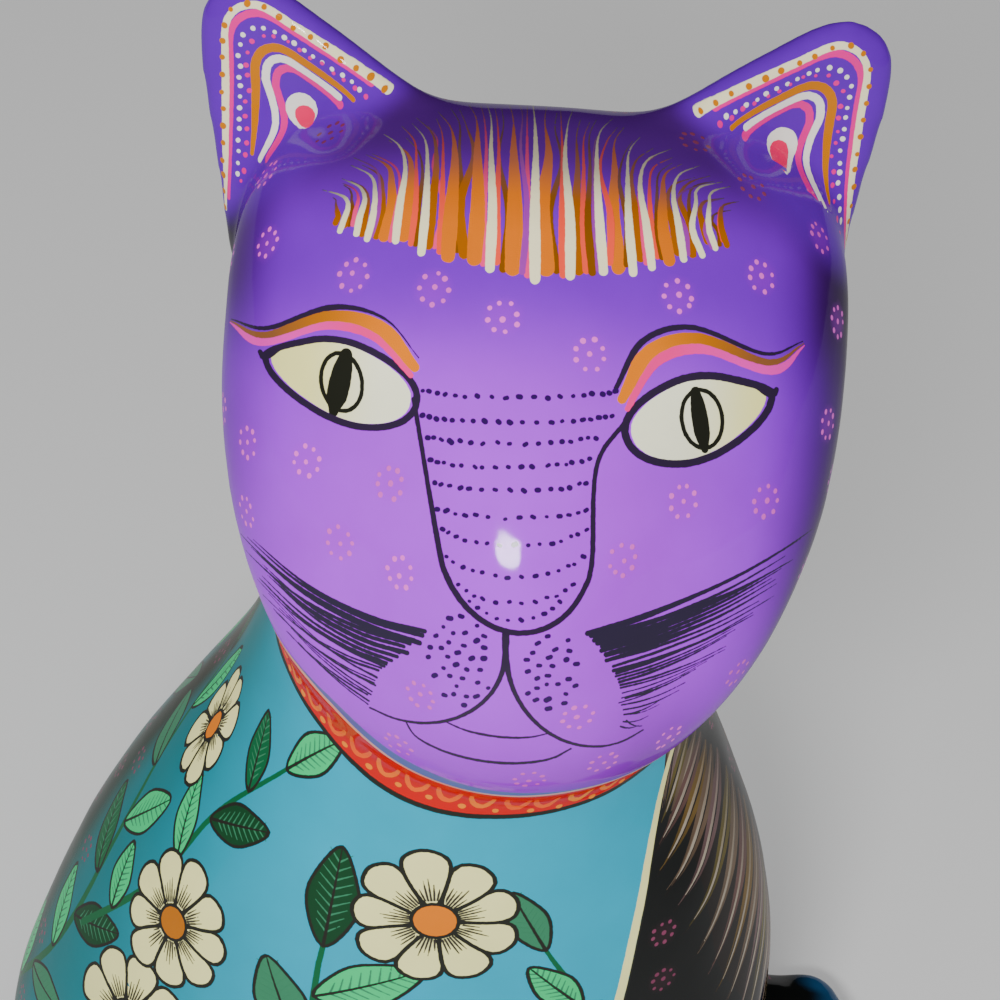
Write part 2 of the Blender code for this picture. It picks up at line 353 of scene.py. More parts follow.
def wet_thumb(material):
    """A Geometry Nodes tree that wipes the joins smooth and leaves the slight lumps of hand work."""
    tree = bpy.data.node_groups.new("wet_thumb", "GeometryNodeTree")
    face = tree.interface
    face.new_socket("Clay", in_out="INPUT", socket_type="NodeSocketGeometry")
    face.new_socket("Clay", in_out="OUTPUT", socket_type="NodeSocketGeometry")
    wanted = (("Wiping", "NodeSocketInt"), ("Lump height", "NodeSocketFloat"))
    wanted += (("Lump size", "NodeSocketFloat"), ("Finish", "NodeSocketMaterial"))
    sockets = {}
    for name, kind in wanted:
        sockets[name] = face.new_socket(name, in_out="INPUT", socket_type=kind).identifier
    nodes, link = tree.nodes, tree.links.new
    start = nodes.new("NodeGroupInput")
    place = nodes.new("GeometryNodeInputPosition")
    wipe = nodes.new("GeometryNodeBlurAttribute")
    wipe.data_type = "FLOAT_VECTOR"
    link(place.outputs[0], wipe.inputs["Value"])
    link(start.outputs["Wiping"], wipe.inputs["Iterations"])
    wiped = nodes.new("GeometryNodeSetPosition")
    link(start.outputs["Clay"], wiped.inputs["Geometry"])
    link(wipe.outputs["Value"], wiped.inputs["Position"])
    per_lump = nodes.new("ShaderNodeMath")
    per_lump.operation = "DIVIDE"
    per_lump.inputs[0].default_value = 1.0
    link(start.outputs["Lump size"], per_lump.inputs[1])
    lumps = nodes.new("ShaderNodeTexNoise")
    lumps.inputs["Detail"].default_value = 1.0
    link(per_lump.outputs[0], lumps.inputs["Scale"])
    centred = nodes.new("ShaderNodeMath")
    centred.operation = "SUBTRACT"
    centred.inputs[1].default_value = 0.5
    link(lumps.outputs[0], centred.inputs[0])
    height = nodes.new("ShaderNodeMath")
    height.operation = "MULTIPLY"
    link(centred.outputs[0], height.inputs[0])
    link(start.outputs["Lump height"], height.inputs[1])
    normal = nodes.new("GeometryNodeInputNormal")
    push = nodes.new("ShaderNodeVectorMath")
    push.operation = "SCALE"
    link(normal.outputs[0], push.inputs[0])
    link(height.outputs[0], push.inputs["Scale"])
    lumpy = nodes.new("GeometryNodeSetPosition")
    link(wiped.outputs[0], lumpy.inputs["Geometry"])
    link(push.outputs["Vector"], lumpy.inputs["Offset"])
    single = nodes.new("GeometryNodeRealizeInstances")
    link(lumpy.outputs[0], single.inputs[0])
    dressed = nodes.new("GeometryNodeSetMaterial")
    link(single.outputs[0], dressed.inputs["Geometry"])
    link(start.outputs["Finish"], dressed.inputs["Material"])
    end = nodes.new("NodeGroupOutput")
    link(dressed.outputs[0], end.inputs[0])
    values = {"Wiping": SKIN_WIPING, "Lump height": 0.0005, "Lump size": 0.022, "Finish": material}
    return tree, {sockets[name]: value for name, value in values.items()}


def cut_flat(made):
    """Cuts the foot flat at z = 0, closes it, and leaves triangles only."""
    shape = bmesh.new()
    shape.from_mesh(made.data)
    everything = shape.verts[:] + shape.edges[:] + shape.faces[:]
    bmesh.ops.bisect_plane(
        shape, geom=everything, plane_co=(0, 0, 0), plane_no=(0, 0, 1), clear_inner=True)
    rim = [edge for edge in shape.edges if edge.is_boundary]
    bmesh.ops.holes_fill(shape, edges=rim, sides=0)
    bmesh.ops.triangulate(shape, faces=shape.faces)
    shape.to_mesh(made.data)
    shape.free()


def set_in(made, low, high):
    """Centres the cat in the solid's box and trims its size to it, and returns the shift."""
    points = np.empty(len(made.data.vertices) * 3, np.float32)
    made.data.vertices.foreach_get("co", points)
    points = points.reshape(-1, 3).astype(float)
    shift = 0.5 * (np.array(low) + np.array(high) - points.min(0) - points.max(0))
    shift[2] = 0.0
    points += shift
    trim = np.minimum(1.0, (np.array(high) - np.array(low)) / (points.max(0) - points.min(0)))
    made.data.vertices.foreach_set("co", (points * trim).astype(np.float32).ravel())
    return Vector(shift)


def moulded_cat(material):
    masses = [trunk()]
    details = [head(), tail()]
    for side in (-1, 1):
        masses.append(ball("haunch", paired(HAUNCH_PLACE, side), HAUNCH_RADII, THIGH_TURN))
        masses += foreleg(side)
        details += paw(paired(FOREPAW_PLACE, side), FOREPAW_RADII)
        details += paw(paired(HINDPAW_PLACE, side), HINDPAW_RADII)
        details.append(ear(side))
    body = joined("body", masses, TRUNK_GRAIN)
    wiping = body.modifiers.new("wiping", "SMOOTH")
    wiping.iterations = TRUNK_WIPING
    whole = joined("pottery_cat_painted", [as_mesh(body)] + details, SKIN_GRAIN)
    thumb = whole.modifiers.new("wet_thumb", "NODES")
    thumb.node_group, values = wet_thumb(material)
    for socket, value in values.items():
        thumb[socket] = value
    cut_flat(as_mesh(whole))
    return whole


painted = bpy.data.materials.new("painted_pottery")
cat = moulded_cat(painted)
SHIFT = set_in(cat, *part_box("pottery_cat"))


# ---------------------------------------------------------------------------------------------
# The grounds. Matt acrylic laid over the whole cat before any line: violet from lilac on the
# cheeks to near black behind the head, turquoise on both flanks, and charcoal on the chest, back
# and feet. The violet's darker parts toward the forehead, temples, top, sides and jaw, and the
# turquoise's darker back half, are painted shade. The skin is laid flat as painter's sheets, in
# mm, that marks are put on.

BLANK = -1.0
COATS = 6
WIDEST_FACE = 8.0
SKIN_POINTS = np.empty(len(cat.data.vertices) * 3, np.float32)
cat.data.vertices.foreach_get("co", SKIN_POINTS)
SKIN_CORNERS = np.empty(len(cat.data.polygons) * 3, np.int32)
cat.data.polygons.foreach_get("vertices", SKIN_CORNERS)
CORNERS = 1000 * SKIN_POINTS.reshape(-1, 3).astype(float)[SKIN_CORNERS.reshape(-1, 3)]
MIDDLES = CORNERS.mean(1)
FACING = np.cross(CORNERS[:, 1] - CORNERS[:, 0], CORNERS[:, 2] - CORNERS[:, 0])
FACING /= np.linalg.norm(FACING, axis=1, keepdims=True) + 1e-12
ground = np.zeros((len(MIDDLES), 3, 3))
places = np.zeros((len(MIDDLES), COATS, 3, 3), np.float32)
paints = np.full((len(MIDDLES), COATS, 3, 4), BLANK, np.float32)
coats = np.zeros(len(MIDDLES), int)
bare = np.ones(len(MIDDLES), bool)


def pigment(red, green, blue):
    """A pot of paint, named by its colour as seen from 0 to 255, as light values."""
    seen = np.array((red, green, blue)) / 255
    return np.where(seen > 0.04045, ((seen + 0.055) / 1.055) ** 2.4, seen / 12.92)


def smooth(low, high, value):
    part = np.clip((value - low) / (high - low), 0.0, 1.0)
    return part * part * (3 - 2 * part)


def blended(first, second, share):
    return first + (second - first) * np.asarray(share)[..., None]


class Sheet:
    """Part of the skin laid flat in mm, on which marks are placed."""

    def __init__(self, across, up, allowed):
        corners = np.stack([across, up], -1)
        span = np.ptp(corners, axis=1).max(-1)
        faces = np.flatnonzero(allowed & (span < WIDEST_FACE))
        self.faces = faces[np.argsort(corners[faces, :, 0].min(1), kind="stable")]
        self.corners = corners[self.faces]
        self.low = self.corners.min(1)
        self.high = self.corners.max(1)

    def touching(self, low, high):
        first, last = np.searchsorted(self.low[:, 0], (low[0] - WIDEST_FACE, high[0]))
        part = slice(first, last)
        return first + np.flatnonzero(((self.high[part] > low) & (self.low[part] < high)).all(1))


FACE_TESTS = np.array([
    (1, 0, 0), (0, 1, 0), (0, 0, 1), (0.5, 0.5, 0), (0, 0.5, 0.5), (0.5, 0, 0.5), (1 / 3, 1 / 3, 1 / 3),
    (2 / 3, 1 / 6, 1 / 6), (1 / 6, 2 / 3, 1 / 6), (1 / 6, 1 / 6, 2 / 3)])
SOFT_EDGE = 0.06


def lay(faces, along, off, half_length, half_width, colour):
    """Lays one mark over the faces it touches. Where it hides a face, what was under it goes."""
    measures = np.stack([along, off, half_width], -1)
    tests = np.einsum("tc,mcv->mtv", FACE_TESTS, measures)
    overrun = np.maximum(np.abs(tests[..., 0]) - half_length, 0.0)
    inside = tests[..., 2] - np.hypot(overrun, tests[..., 1])
    touched = inside.max(1) > -SOFT_EDGE
    hidden = inside.min(1) > 2 * SOFT_EDGE
    over = faces[hidden]
    ground[over] = colour[hidden]
    paints[over] = BLANK
    coats[over] = 0
    bare[faces[touched]] = False
    part = touched & ~hidden
    here = faces[part]
    full = here[coats[here] == COATS]
    places[full, :-1] = places[full, 1:]
    paints[full, :-1] = paints[full, 1:]
    coats[full] -= 1
    top = coats[here]
    places[here, top, :, 0] = along[part]
    places[here, top, :, 1] = off[part]
    places[here, top, :, 2] = half_length
    paints[here, top, :, :3] = colour[part]
    paints[here, top, :, 3] = half_width[part]
    coats[here] += 1


def curve(points, closed=False, steps=6):
    """A smooth line through a few points."""
    points = np.asarray(points, float)
    if len(points) < 3:
        return points
    if closed:
        padded = np.concatenate([points[-1:], points, points[:2]])
    else:
        padded = np.concatenate([[2 * points[0] - points[1]], points, [2 * points[-1] - points[-2]]])
    made = []
    for a, b, c, d in zip(padded, padded[1:], padded[2:], padded[3:]):
        for t in np.arange(steps) / steps:
            bend = 2 * a - 5 * b + 4 * c - d + t * (3 * b - a - 3 * c + d)
            made.append(b + 0.5 * t * (c - a + t * bend))
    made.append(padded[-2])
    return np.array(made)


SHORTEST_RUN = 1e-9


def nearest_on(line, spots, closed):
    """How far along a line each spot lies, and how far off it, to its left or right."""
    starts = line[:-1]
    runs = line[1:] - starts
    lengths = np.maximum(np.linalg.norm(runs, axis=1), SHORTEST_RUN)
    gap = spots[:, None, :] - starts
    share = (gap * runs).sum(-1) / lengths ** 2
    held = np.clip(share, 0.0, 1.0)
    distance = np.linalg.norm(gap - held[..., None] * runs, axis=-1)
    best = distance.argmin(1)
    rows = np.arange(len(spots))
    part = held[rows, best]
    if not closed:
        free = ((best == 0) & (share[rows, best] < 0)) | ((best == len(runs) - 1) & (share[rows, best] > 1))
        part = np.where(free, share[rows, best], part)
    run = runs[best]
    here = gap[rows, best] - part[:, None] * run
    turn = run[:, 0] * here[:, 1] - run[:, 1] * here[:, 0]
    before = np.concatenate([[0.0], np.cumsum(lengths)])[best]
    return before + part * lengths[best], np.linalg.norm(here, axis=1) * np.where(turn < 0, -1, 1)


def ramp(stops, share):
    """Values read along evenly spaced stops."""
    stops = np.atleast_1d(np.asarray(stops, float))
    if len(stops) == 1:
        return np.broadcast_to(stops[0], share.shape + stops.shape[1:])
    reach = np.clip(share, 0.0, 1.0) * (len(stops) - 1)
    first = np.minimum(reach.astype(int), len(stops) - 2)
    part = reach - first
    if stops.ndim > 1:
        part = part[..., None]
    return stops[first] + (stops[first + 1] - stops[first]) * part


def stroke(sheet, points, widths, colours, closed=False, steps=6):
    """One pull of the brush: its full widths and colours are given from start to end."""
    line = curve(points, closed, steps)
    room = max(widths) / 2 + 1.0
    found = sheet.touching(line.min(0) - room, line.max(0) + room)
    if len(found) == 0 or len(line) < 2:
        return
    spots = sheet.corners[found]
    along, off = nearest_on(line, spots.reshape(-1, 2), closed)
    length = np.linalg.norm(np.diff(line, axis=0), axis=1).sum()
    along, off = along.reshape(-1, 3), off.reshape(-1, 3)
    share = along / length
    half_width = 0.5 * ramp(widths, share)
    colour = ramp(np.atleast_2d(colours), share)
    lay(sheet.faces[found], along - length / 2, off, length if closed else length / 2, half_width, colour)


def dot(sheet, place, width, colour):
    found = sheet.touching(np.subtract(place, width), np.add(place, width))
    if len(found):
        gap = sheet.corners[found] - np.asarray(place)
        size = np.full(gap.shape[:2], width / 2)
        colours = np.broadcast_to(colour, gap.shape[:2] + (3,))
        lay(sheet.faces[found], gap[..., 0], gap[..., 1], 0.0, size, colours)


DEEP = 100.0
EDGE_ROOM = 5.0
EDGE_PIECE = 12


def edge_gap(line, spots):
    """How far each spot lies from a line, told apart only close to it."""
    gap = np.full(len(spots), EDGE_ROOM)
    for start in range(0, len(line) - 1, EDGE_PIECE):
        piece = line[start:start + EDGE_PIECE + 1]
        close = ((spots > piece.min(0) - EDGE_ROOM) & (spots < piece.max(0) + EDGE_ROOM)).all(1)
        near = np.flatnonzero(close)
        if len(near):
            gap[near] = np.minimum(gap[near], np.abs(nearest_on(piece, spots[near], True)[1]))
    return gap


def fill(sheet, points, colour, closed_curve=True, steps=6):
    """A flat area inside an outline. Its colour may be worked out from the place on the sheet."""
    line = curve(points, True, steps) if closed_curve else np.asarray(list(points) + [points[0]], float)
    found = sheet.touching(line.min(0) - 1.0, line.max(0) + 1.0)
    if len(found) == 0:
        return
    spots = sheet.corners[found].reshape(-1, 2)
    off = edge_gap(line, spots)
    low, high = line[:-1], line[1:]
    x, y = spots[:, :1], spots[:, 1:]
    spans = (low[:, 1] > y) != (high[:, 1] > y)
    rise = np.where(high[:, 1] == low[:, 1], 1e-9, high[:, 1] - low[:, 1])
    crossings = spans & (x < (high[:, 0] - low[:, 0]) * (y - low[:, 1]) / rise + low[:, 0])
    within = crossings.sum(1) % 2 == 1
    off = (DEEP - np.where(within, off, -off)).reshape(-1, 3)
    value = colour(spots).reshape(-1, 3, 3) if callable(colour) else np.broadcast_to(colour, off.shape + (3,))
    lay(sheet.faces[found], np.zeros_like(off), off, 0.0, np.full_like(off, DEEP), value)


head_middle = 1000 * np.array(HEAD_PLACE + SHIFT)
head_axes = np.array(Matrix.Rotation(-FACE_SLOPE, 3, "X"))


def in_head(points):
    return (points - head_middle) @ head_axes


def off_head(points):
    """Roughly how far points lie outside the head, with the face's own relief, in mm."""
    x, y, z = np.moveaxis(in_head(points), -1, 0)
    y = y.copy()
    jaw = (y < 0) & (z < JAW_FROM) & (z > JAW_TO)
    rises = [face_rise(0.001 * across, 0.001 * up) for across, up in zip(x[jaw], z[jaw])]
    y[jaw] += 1000 * np.array(rises) * np.minimum(1.0, -y[jaw] / (1000 * RELIEF_EDGE * HEAD_FRONT))
    front = np.where(y < 0, HEAD_FRONT, HEAD_BACK) * 1000
    flat = np.hypot(x / (1000 * HEAD_HALF_WIDTH), y / front)
    power = np.where(z > 0, CROWN_SQUARENESS, JAW_SQUARENESS)
    tall = np.abs(z / np.where(z > 0, 1000 * CROWN_HEIGHT, 1000 * CHIN_LENGTH))
    size = (flat ** power + tall ** power) ** (1 / power)
    return (1 - 1 / np.maximum(size, 1e-6)) * np.sqrt(x * x + y * y + z * z)


EAR_LEVEL = 232.0
HEAD_JOIN = 1.3
JAW_FROM, JAW_TO = -20.0, -110.0
local = in_head(CORNERS)
local_facing = FACING @ head_axes
from_head = off_head(1000 * SKIN_POINTS.reshape(-1, 3).astype(float))[SKIN_CORNERS.reshape(-1, 3)]
on_head = (from_head.mean(1) < HEAD_JOIN) | (MIDDLES[:, 2] > EAR_LEVEL)

LILAC = pigment(188, 44, 255)
VIOLET = pigment(130, 14, 230)
BROW_VIOLET = pigment(122, 14, 206)
VIOLET_SHADE = pigment(62, 28, 88)
# The two darker violets below are painted shade on the head.
DEEP_VIOLET_SHADE = pigment(44, 18, 62)
NIGHT = pigment(12, 7, 16)
CHARCOAL = pigment(17, 19, 18)
TURQUOISE = pigment(0, 172, 204)
SHADED_TURQUOISE = pigment(0, 118, 126)

cheek = smooth(78, 22, np.hypot(local[..., 0] * 0.85 + 6, 0.75 * (local[..., 2] + 54)))
violet = blended(VIOLET, LILAC, cheek)
# Each darkening below is painted shade where the head turns away from the light: up the forehead, at the
# temples, over the top, down the right side, at the left edge, under the right jaw and toward the chin.
violet = blended(violet, BROW_VIOLET, smooth(-12, 16, local[..., 2]))
temple_shade = smooth(50, 62, np.abs(local[..., 0])) * smooth(-10, 12, local[..., 2])
violet = blended(violet, VIOLET_SHADE, 0.75 * temple_shade)
crown_shade = smooth(19, 39, local[..., 2]) * np.maximum(smooth(62, 44, np.abs(local[..., 0])),
                                                   smooth(24, 38, local[..., 2]))
violet = blended(violet, VIOLET_SHADE, 0.85 * crown_shade)
shaded_side = smooth(43, 60, local[..., 0]) * (0.65 + 0.35 * np.maximum(smooth(-34, -6, local[..., 1]),
                                                                       smooth(-14, 12, local[..., 2])))
violet = blended(violet, DEEP_VIOLET_SHADE, 0.88 * shaded_side)
left_edge_shade = smooth(46, 62, -local[..., 0]) * smooth(-60, -20, local[..., 2])
violet = blended(violet, VIOLET_SHADE, 0.35 * left_edge_shade)
under_jaw_shade = smooth(-84, -98, local[..., 2]) * smooth(-40, -20, local[..., 1])
right_jaw_shade = smooth(6, 40, local[..., 0]) * smooth(-60, -92, local[..., 2])
violet = blended(violet, VIOLET_SHADE, 0.8 * right_jaw_shade)
violet *= 1 - 0.26 * smooth(-74, -92, local[..., 2])[..., None]
violet = blended(violet, VIOLET_SHADE, (0.45 + 0.4 * smooth(0, 26, local[..., 0])) * under_jaw_shade)
behind = smooth(-6, 14, local[..., 1] + 10 * smooth(20, 55, local[..., 0])) * smooth(44, 36, local[..., 2])
violet = blended(violet, NIGHT, behind)

TRUNK_MIDDLE = -12.0
TRUNK_REACH = (85.0, 60.0)
SHEET_RADIUS = 75.0
turn_middle = np.arctan2(MIDDLES[:, 1] / TRUNK_REACH[1], (MIDDLES[:, 0] - TRUNK_MIDDLE) / TRUNK_REACH[0])
turn = np.arctan2(CORNERS[..., 1] / TRUNK_REACH[1], (CORNERS[..., 0] - TRUNK_MIDDLE) / TRUNK_REACH[0])
turn -= 2 * np.pi * np.round((turn - turn_middle[:, None]) / (2 * np.pi))
around = {side: SHEET_RADIUS * (np.pi / 2 - side * turn) for side in (-1, 1)}
height = CORNERS[..., 2]
from_chest = np.where(turn_middle[:, None] < 0, around[-1], around[1])
# The turquoise darkens toward the back of each flank as painted shade.
flank_ground = blended(TURQUOISE, SHADED_TURQUOISE, smooth(-10, -90, from_chest))
ground[:] = np.where(on_head[:, None, None], violet, flank_ground)


# ---------------------------------------------------------------------------------------------
# The eyes and brows. Cream almond eyes with a slit pupil in a thin ring, outlined with a loaded
# liner brush, and above each a brow of ochre over pink under a black edge. They are drawn by
# hand, so each side leans its own way.

INK = pigment(48, 36, 60)
INK_GREEN = pigment(34, 35, 28)
CREAM = pigment(255, 255, 222)
IVORY = pigment(255, 249, 160)
ORANGE = pigment(236, 126, 0)
OCHRE = pigment(192, 110, 0)
OLD_OCHRE = pigment(140, 88, 50)
PINK = pigment(255, 44, 140)
ROSE = pigment(250, 56, 190)

face = Sheet(local[..., 0], local[..., 2], on_head & (local_facing[:, 1] < -0.03))
LEAN = 0.067
DROOP = 0.033
LEAN_FROM_LEVEL = -50.0


def drawn(points):
    """The painter's upright face, as it really sits: leaning a little, one side lower."""
    points = np.atleast_2d(np.asarray(points, float))
    across, up = points[:, 0], points[:, 1]
    level = up - DROOP * across
    return np.stack([across - LEAN * (up - LEAN_FROM_LEVEL), level], 1)


EYE_MIDDLE = (34.5, -11.3)
EYE_TURN = math.radians(5.0)
EYE_HALF = 15.0
EYE_TILT = 0.25
EYE_MIDDLE_UP = 1.4
LID_RISE = 7.1
LID_FALL = 9.0
PINCH_ABOVE = 0.54
PINCH_BELOW = 0.2
WHITE_SHARE = 0.92
BROW = ((-16, 5), (-10, 13), (0, 15.5), (14, 11.5), (22.5, 14))
BROW_FADE = (1.0, 1.0, 1.0, 0.8, 0.2)
OCHRE_DROP = 1.8
PINK_DROP = 3.4
BROW_RISE = {-1: 0.93, 1: 1.12}
BROW_EDGE = {-1: (0.15, 0.3, 0.8, 1.3, 1.2, 0.8, 0.2), 1: (0.9, 1.3, 1.2, 1.0, 0.9, 0.7, 0.2)}
PUPIL_LEAN = {-1: 1.8, 1: -0.6}
PUPIL_WIDTH = {-1: 4.4, 1: 3.3}
IRIS = (4.1, 5.5)
LID_WIDTH = {-1: 1.35, 1: 1.5}


def eye_place(side, points, rise=1.0):
    """Points outward of and above one eye's middle, put on the face."""
    points = np.asarray(points, float) * (1.0, rise)
    across = side * points[:, 0]
    x = EYE_MIDDLE[0] * side + across * math.cos(EYE_TURN) - points[:, 1] * math.sin(EYE_TURN)
    z = EYE_MIDDLE[1] + across * math.sin(EYE_TURN) + points[:, 1] * math.cos(EYE_TURN)
    return drawn(np.stack([x, z], 1))


def oval_points(middle, radii, count=16, start=0.0, sweep=2 * math.pi):
    angles = start + sweep * np.arange(count) / count
    return np.stack([middle[0] + radii[0] * np.cos(angles), middle[1] + radii[1] * np.sin(angles)], 1)


def almond(size, count=18):
    """The eye's outline: an oval tilted up outward and pinched to a point at its outer corner."""
    angles = 2 * math.pi * np.arange(count) / count
    outward = np.cos(angles)
    tall = np.where(np.sin(angles) > 0, LID_RISE, LID_FALL)
    pinch = 1 - np.where(np.sin(angles) > 0, PINCH_ABOVE, PINCH_BELOW) * np.maximum(outward, 0.0)
    up = EYE_MIDDLE_UP + EYE_TILT * EYE_HALF * outward + size * tall * np.sin(angles) * pinch
    return np.stack([size * EYE_HALF * outward, up], 1)


def brow(drop):
    """The brow's wave, or the same wave a little lower, closing up toward its outer tip."""
    return np.array(BROW) + np.outer(drop * np.array(BROW_FADE), (0.55, -1.0))


def eye_shade(side):
    """Cream at the inner corner, warming to ivory outward."""
    def shade(spots):
        return blended(CREAM, IVORY, smooth(-6, 10, side * (spots[:, 0] - side * EYE_MIDDLE[0])))
    return shade


for side in (-1, 1):
    fill(face, eye_place(side, almond(WHITE_SHARE)), eye_shade(side))
    middle_of_iris = (0.4 * side, 0.2)
    stroke(face, eye_place(side, oval_points(middle_of_iris, IRIS)), (0.85,), INK_GREEN, closed=True)
    lean = PUPIL_LEAN[side] * side
    pupil = ((lean, 5.4), (0.0, 0.0), (-lean, -5.6))
    width = PUPIL_WIDTH[side]
    slit = width * np.array((0.55, 0.9, 1.0, 0.95, 0.4))
    stroke(face, eye_place(side, pupil), slit, INK_GREEN)
    lid = almond(1.0)
    stroke(face, eye_place(side, lid), (LID_WIDTH[side],), INK, closed=True)
    corner = eye_place(side, (lid[2], lid[0], lid[0] + (1.0, 1.0)))
    stroke(face, corner, (1.1, 1.6, 1.0), INK)
    rise = BROW_RISE[side]
    stroke(face, eye_place(side, brow(0.0), rise), BROW_EDGE[side], INK)
    stroke(face, eye_place(side, brow(PINK_DROP), rise), (1.0, 2.3, 2.4, 2.2, 2.2, 1.8, 0.2),
           [PINK, PINK, ROSE, ROSE])
    stroke(face, eye_place(side, brow(OCHRE_DROP), rise), (1.8, 2.9, 2.4, 2.0, 1.7, 1.2, 0.2),
           [ORANGE, ORANGE, OCHRE, OLD_OCHRE, OLD_OCHRE])


# ---------------------------------------------------------------------------------------------
# Nose, mouth and whiskers. One ink line runs down the nose and round its tip, with rows of dots
# across it. Below hang the lips and a small smile, stippled pads, and whiskers combed outward.

DOT_INK = pigment(50, 18, 84)
NOSE_MIDDLE = (-0.8, -37.0)
NOSE_RADII = (14.6, 17.5)
NOSE_LINE_FROM = (-20, -13)
NOSE_LINE_TO = (20, -13)
NOSE_WIDTHS = (0.9, 0.9, 1.1, 1.2, 1.1, 1.1, 1.0, 0.9, 0.9)
NOSE_ROWS = 10
NOSE_TOP_ROW = -9.4
NOSE_ROW_GAP = 4.4
NOSE_SLOPE = 0.1
DOT_GAP = 1.95
PHILTRUM_TOP = (-2.5, -54.5)
LIP_MIDDLE = {-1: (-22, -58), 1: (14.5, -58)}
LIP_RADII = {-1: (19.5, 17.5), 1: (17, 18.7)}
LIP_START = {-1: math.radians(0), 1: math.radians(180)}
LIP_SWEEP = {-1: math.radians(-128), 1: math.radians(145)}
LIP_WIDTHS = (1.4, 1.1, 0.9, 0.85, 0.75, 0.65, 0.5, 0.4)
SMILE_MIDDLE = (-5.5, -75.5)
SMILE_RADII = (16.5, 6.4)
PADS = {-1: (-11.2, -61.2, 6.4, 9.0, 34), 1: (6.2, -61.4, 5.6, 8.0, 26)}

luck = np.random.default_rng(11)
round_tip = oval_points(NOSE_MIDDLE, NOSE_RADII, 9, math.radians(188), math.radians(184))
beside_nose = (NOSE_MIDDLE[0] + NOSE_RADII[0] + 0.6, -22)
nose_line = np.concatenate([[NOSE_LINE_FROM], round_tip, [beside_nose, NOSE_LINE_TO]])
nose_curve = curve(nose_line)
lowest = nose_curve[:, 1].argmin()
for row in range(NOSE_ROWS):
    level = NOSE_TOP_ROW - NOSE_ROW_GAP * row + luck.normal(0.0, 0.35)
    sag = 1.3 + 2.2 * smooth(4.5, 7.0, row)
    level_on_line = min(level - 0.4 * sag, -13.5)
    left = np.interp(level_on_line, nose_curve[lowest::-1, 1], nose_curve[lowest::-1, 0]) + 1.4
    right = np.interp(level_on_line, nose_curve[lowest:, 1], nose_curve[lowest:, 0]) - 1.4
    middle = 0.5 * (left + right)
    half = 0.5 * (right - left)
    count = max(9, int(2 * half / (DOT_GAP * luck.uniform(0.9, 1.1))))
    for index in range(count + 1):
        part = 2 * index / count - 1
        across = middle + half * (part + 0.1 * math.sin(math.pi * part)) + luck.normal(0.0, 0.16)
        up = level + NOSE_SLOPE * (across - middle) - sag * (1 - part * part) + luck.normal(0.0, 0.14)
        length = luck.uniform(0.0, 0.35)
        slant = luck.uniform(-0.5, 0.5)
        ends = ((across - length / 2, up - slant * length), (across + length / 2 + 0.05, up + slant * length))
        stroke(face, drawn(ends), (luck.uniform(0.75, 1.1) - 0.02 * row,), DOT_INK)
for side, (across, up, wide, tall, count) in PADS.items():
    placed = []
    for trial in range(40 * count):
        spot = luck.uniform(-1, 1, 2)
        size = spot * (wide, tall) + (across, up)
        if np.hypot(*spot) < 1 and all(np.hypot(*(size - other)) > 1.75 for other in placed):
            placed.append(size)
        if len(placed) == count:
            break
    for spot in placed:
        reach = luck.uniform(0.0, 0.6)
        fall = luck.uniform(-0.7, 0.3)
        ends = (spot - (reach / 2, -fall * reach / 2), spot + (reach / 2, -fall * reach / 2))
        stroke(face, drawn(ends), (luck.uniform(0.75, 1.1),), DOT_INK)
smile_above = oval_points((-4, -72), (12, 4), 5, math.radians(210), math.radians(150))
smile_below = oval_points(SMILE_MIDDLE, SMILE_RADII, 7, math.radians(180), math.radians(190))
stroke(face, drawn(smile_above), (0.3, 0.55, 0.5, 0.3), INK)
stroke(face, drawn(smile_below), (0.35, 0.6, 0.7, 0.45), INK)
for side in (1, -1):
    lip = oval_points(LIP_MIDDLE[side], LIP_RADII[side], 8, LIP_START[side], LIP_SWEEP[side])
    stroke(face, drawn(np.concatenate([[PHILTRUM_TOP], lip])), LIP_WIDTHS, INK)
stroke(face, drawn(nose_line), NOSE_WIDTHS, INK)

WHISKER_ROOTS = {-1: ((-18, -57), (-26, -65), (-30, -73)), 1: ((13.5, -53), (19, -62), (20.5, -72))}
WHISKER_TIPS = {-1: ((-56, -43), (-52, -53), (-46, -62)), 1: ((61, -30), (46, -50), (24, -72))}
WHISKER_COUNT = {-1: 25, 1: 30}
WHISKER_SAG = {-1: 3.4, 1: 1.8}
WHISKER_INK = pigment(44, 36, 60)

for side in (-1, 1):
    for index in range(WHISKER_COUNT[side]):
        share = index / (WHISKER_COUNT[side] - 1)
        root = ramp(curve(WHISKER_ROOTS[side]), np.array(share)) + luck.normal(0.0, 0.3, 2)
        tip = ramp(curve(WHISKER_TIPS[side]), np.array(share)) + luck.normal(0.0, 0.7, 2)
        tip = root + (tip - root) * luck.uniform(0.86, 1.03)
        sag = WHISKER_SAG[side] * (1 - 0.75 * share)
        path = [root + (tip - root) * part - (0, sag * 4 * part * (1 - part)) for part in (0, 0.3, 0.65, 1)]
        weight = 1.02 - 0.66 * smooth(0.0, 0.8, share) + luck.uniform(-0.12, 0.12)
        stroke(face, drawn(path), (weight, 1.05 * weight, 0.8 * weight, 0.5 * weight, 0.15), WHISKER_INK)


# ---------------------------------------------------------------------------------------------
# The tuft between the ears. Pulls of a loaded brush stand side by side, round and thick at the
# foot, and flick outward to thin grey-lavender tips. Each pull darkens toward its tip as painted
# shade where the head turns away from the light. Their feet hang in a bow, their tips arch.

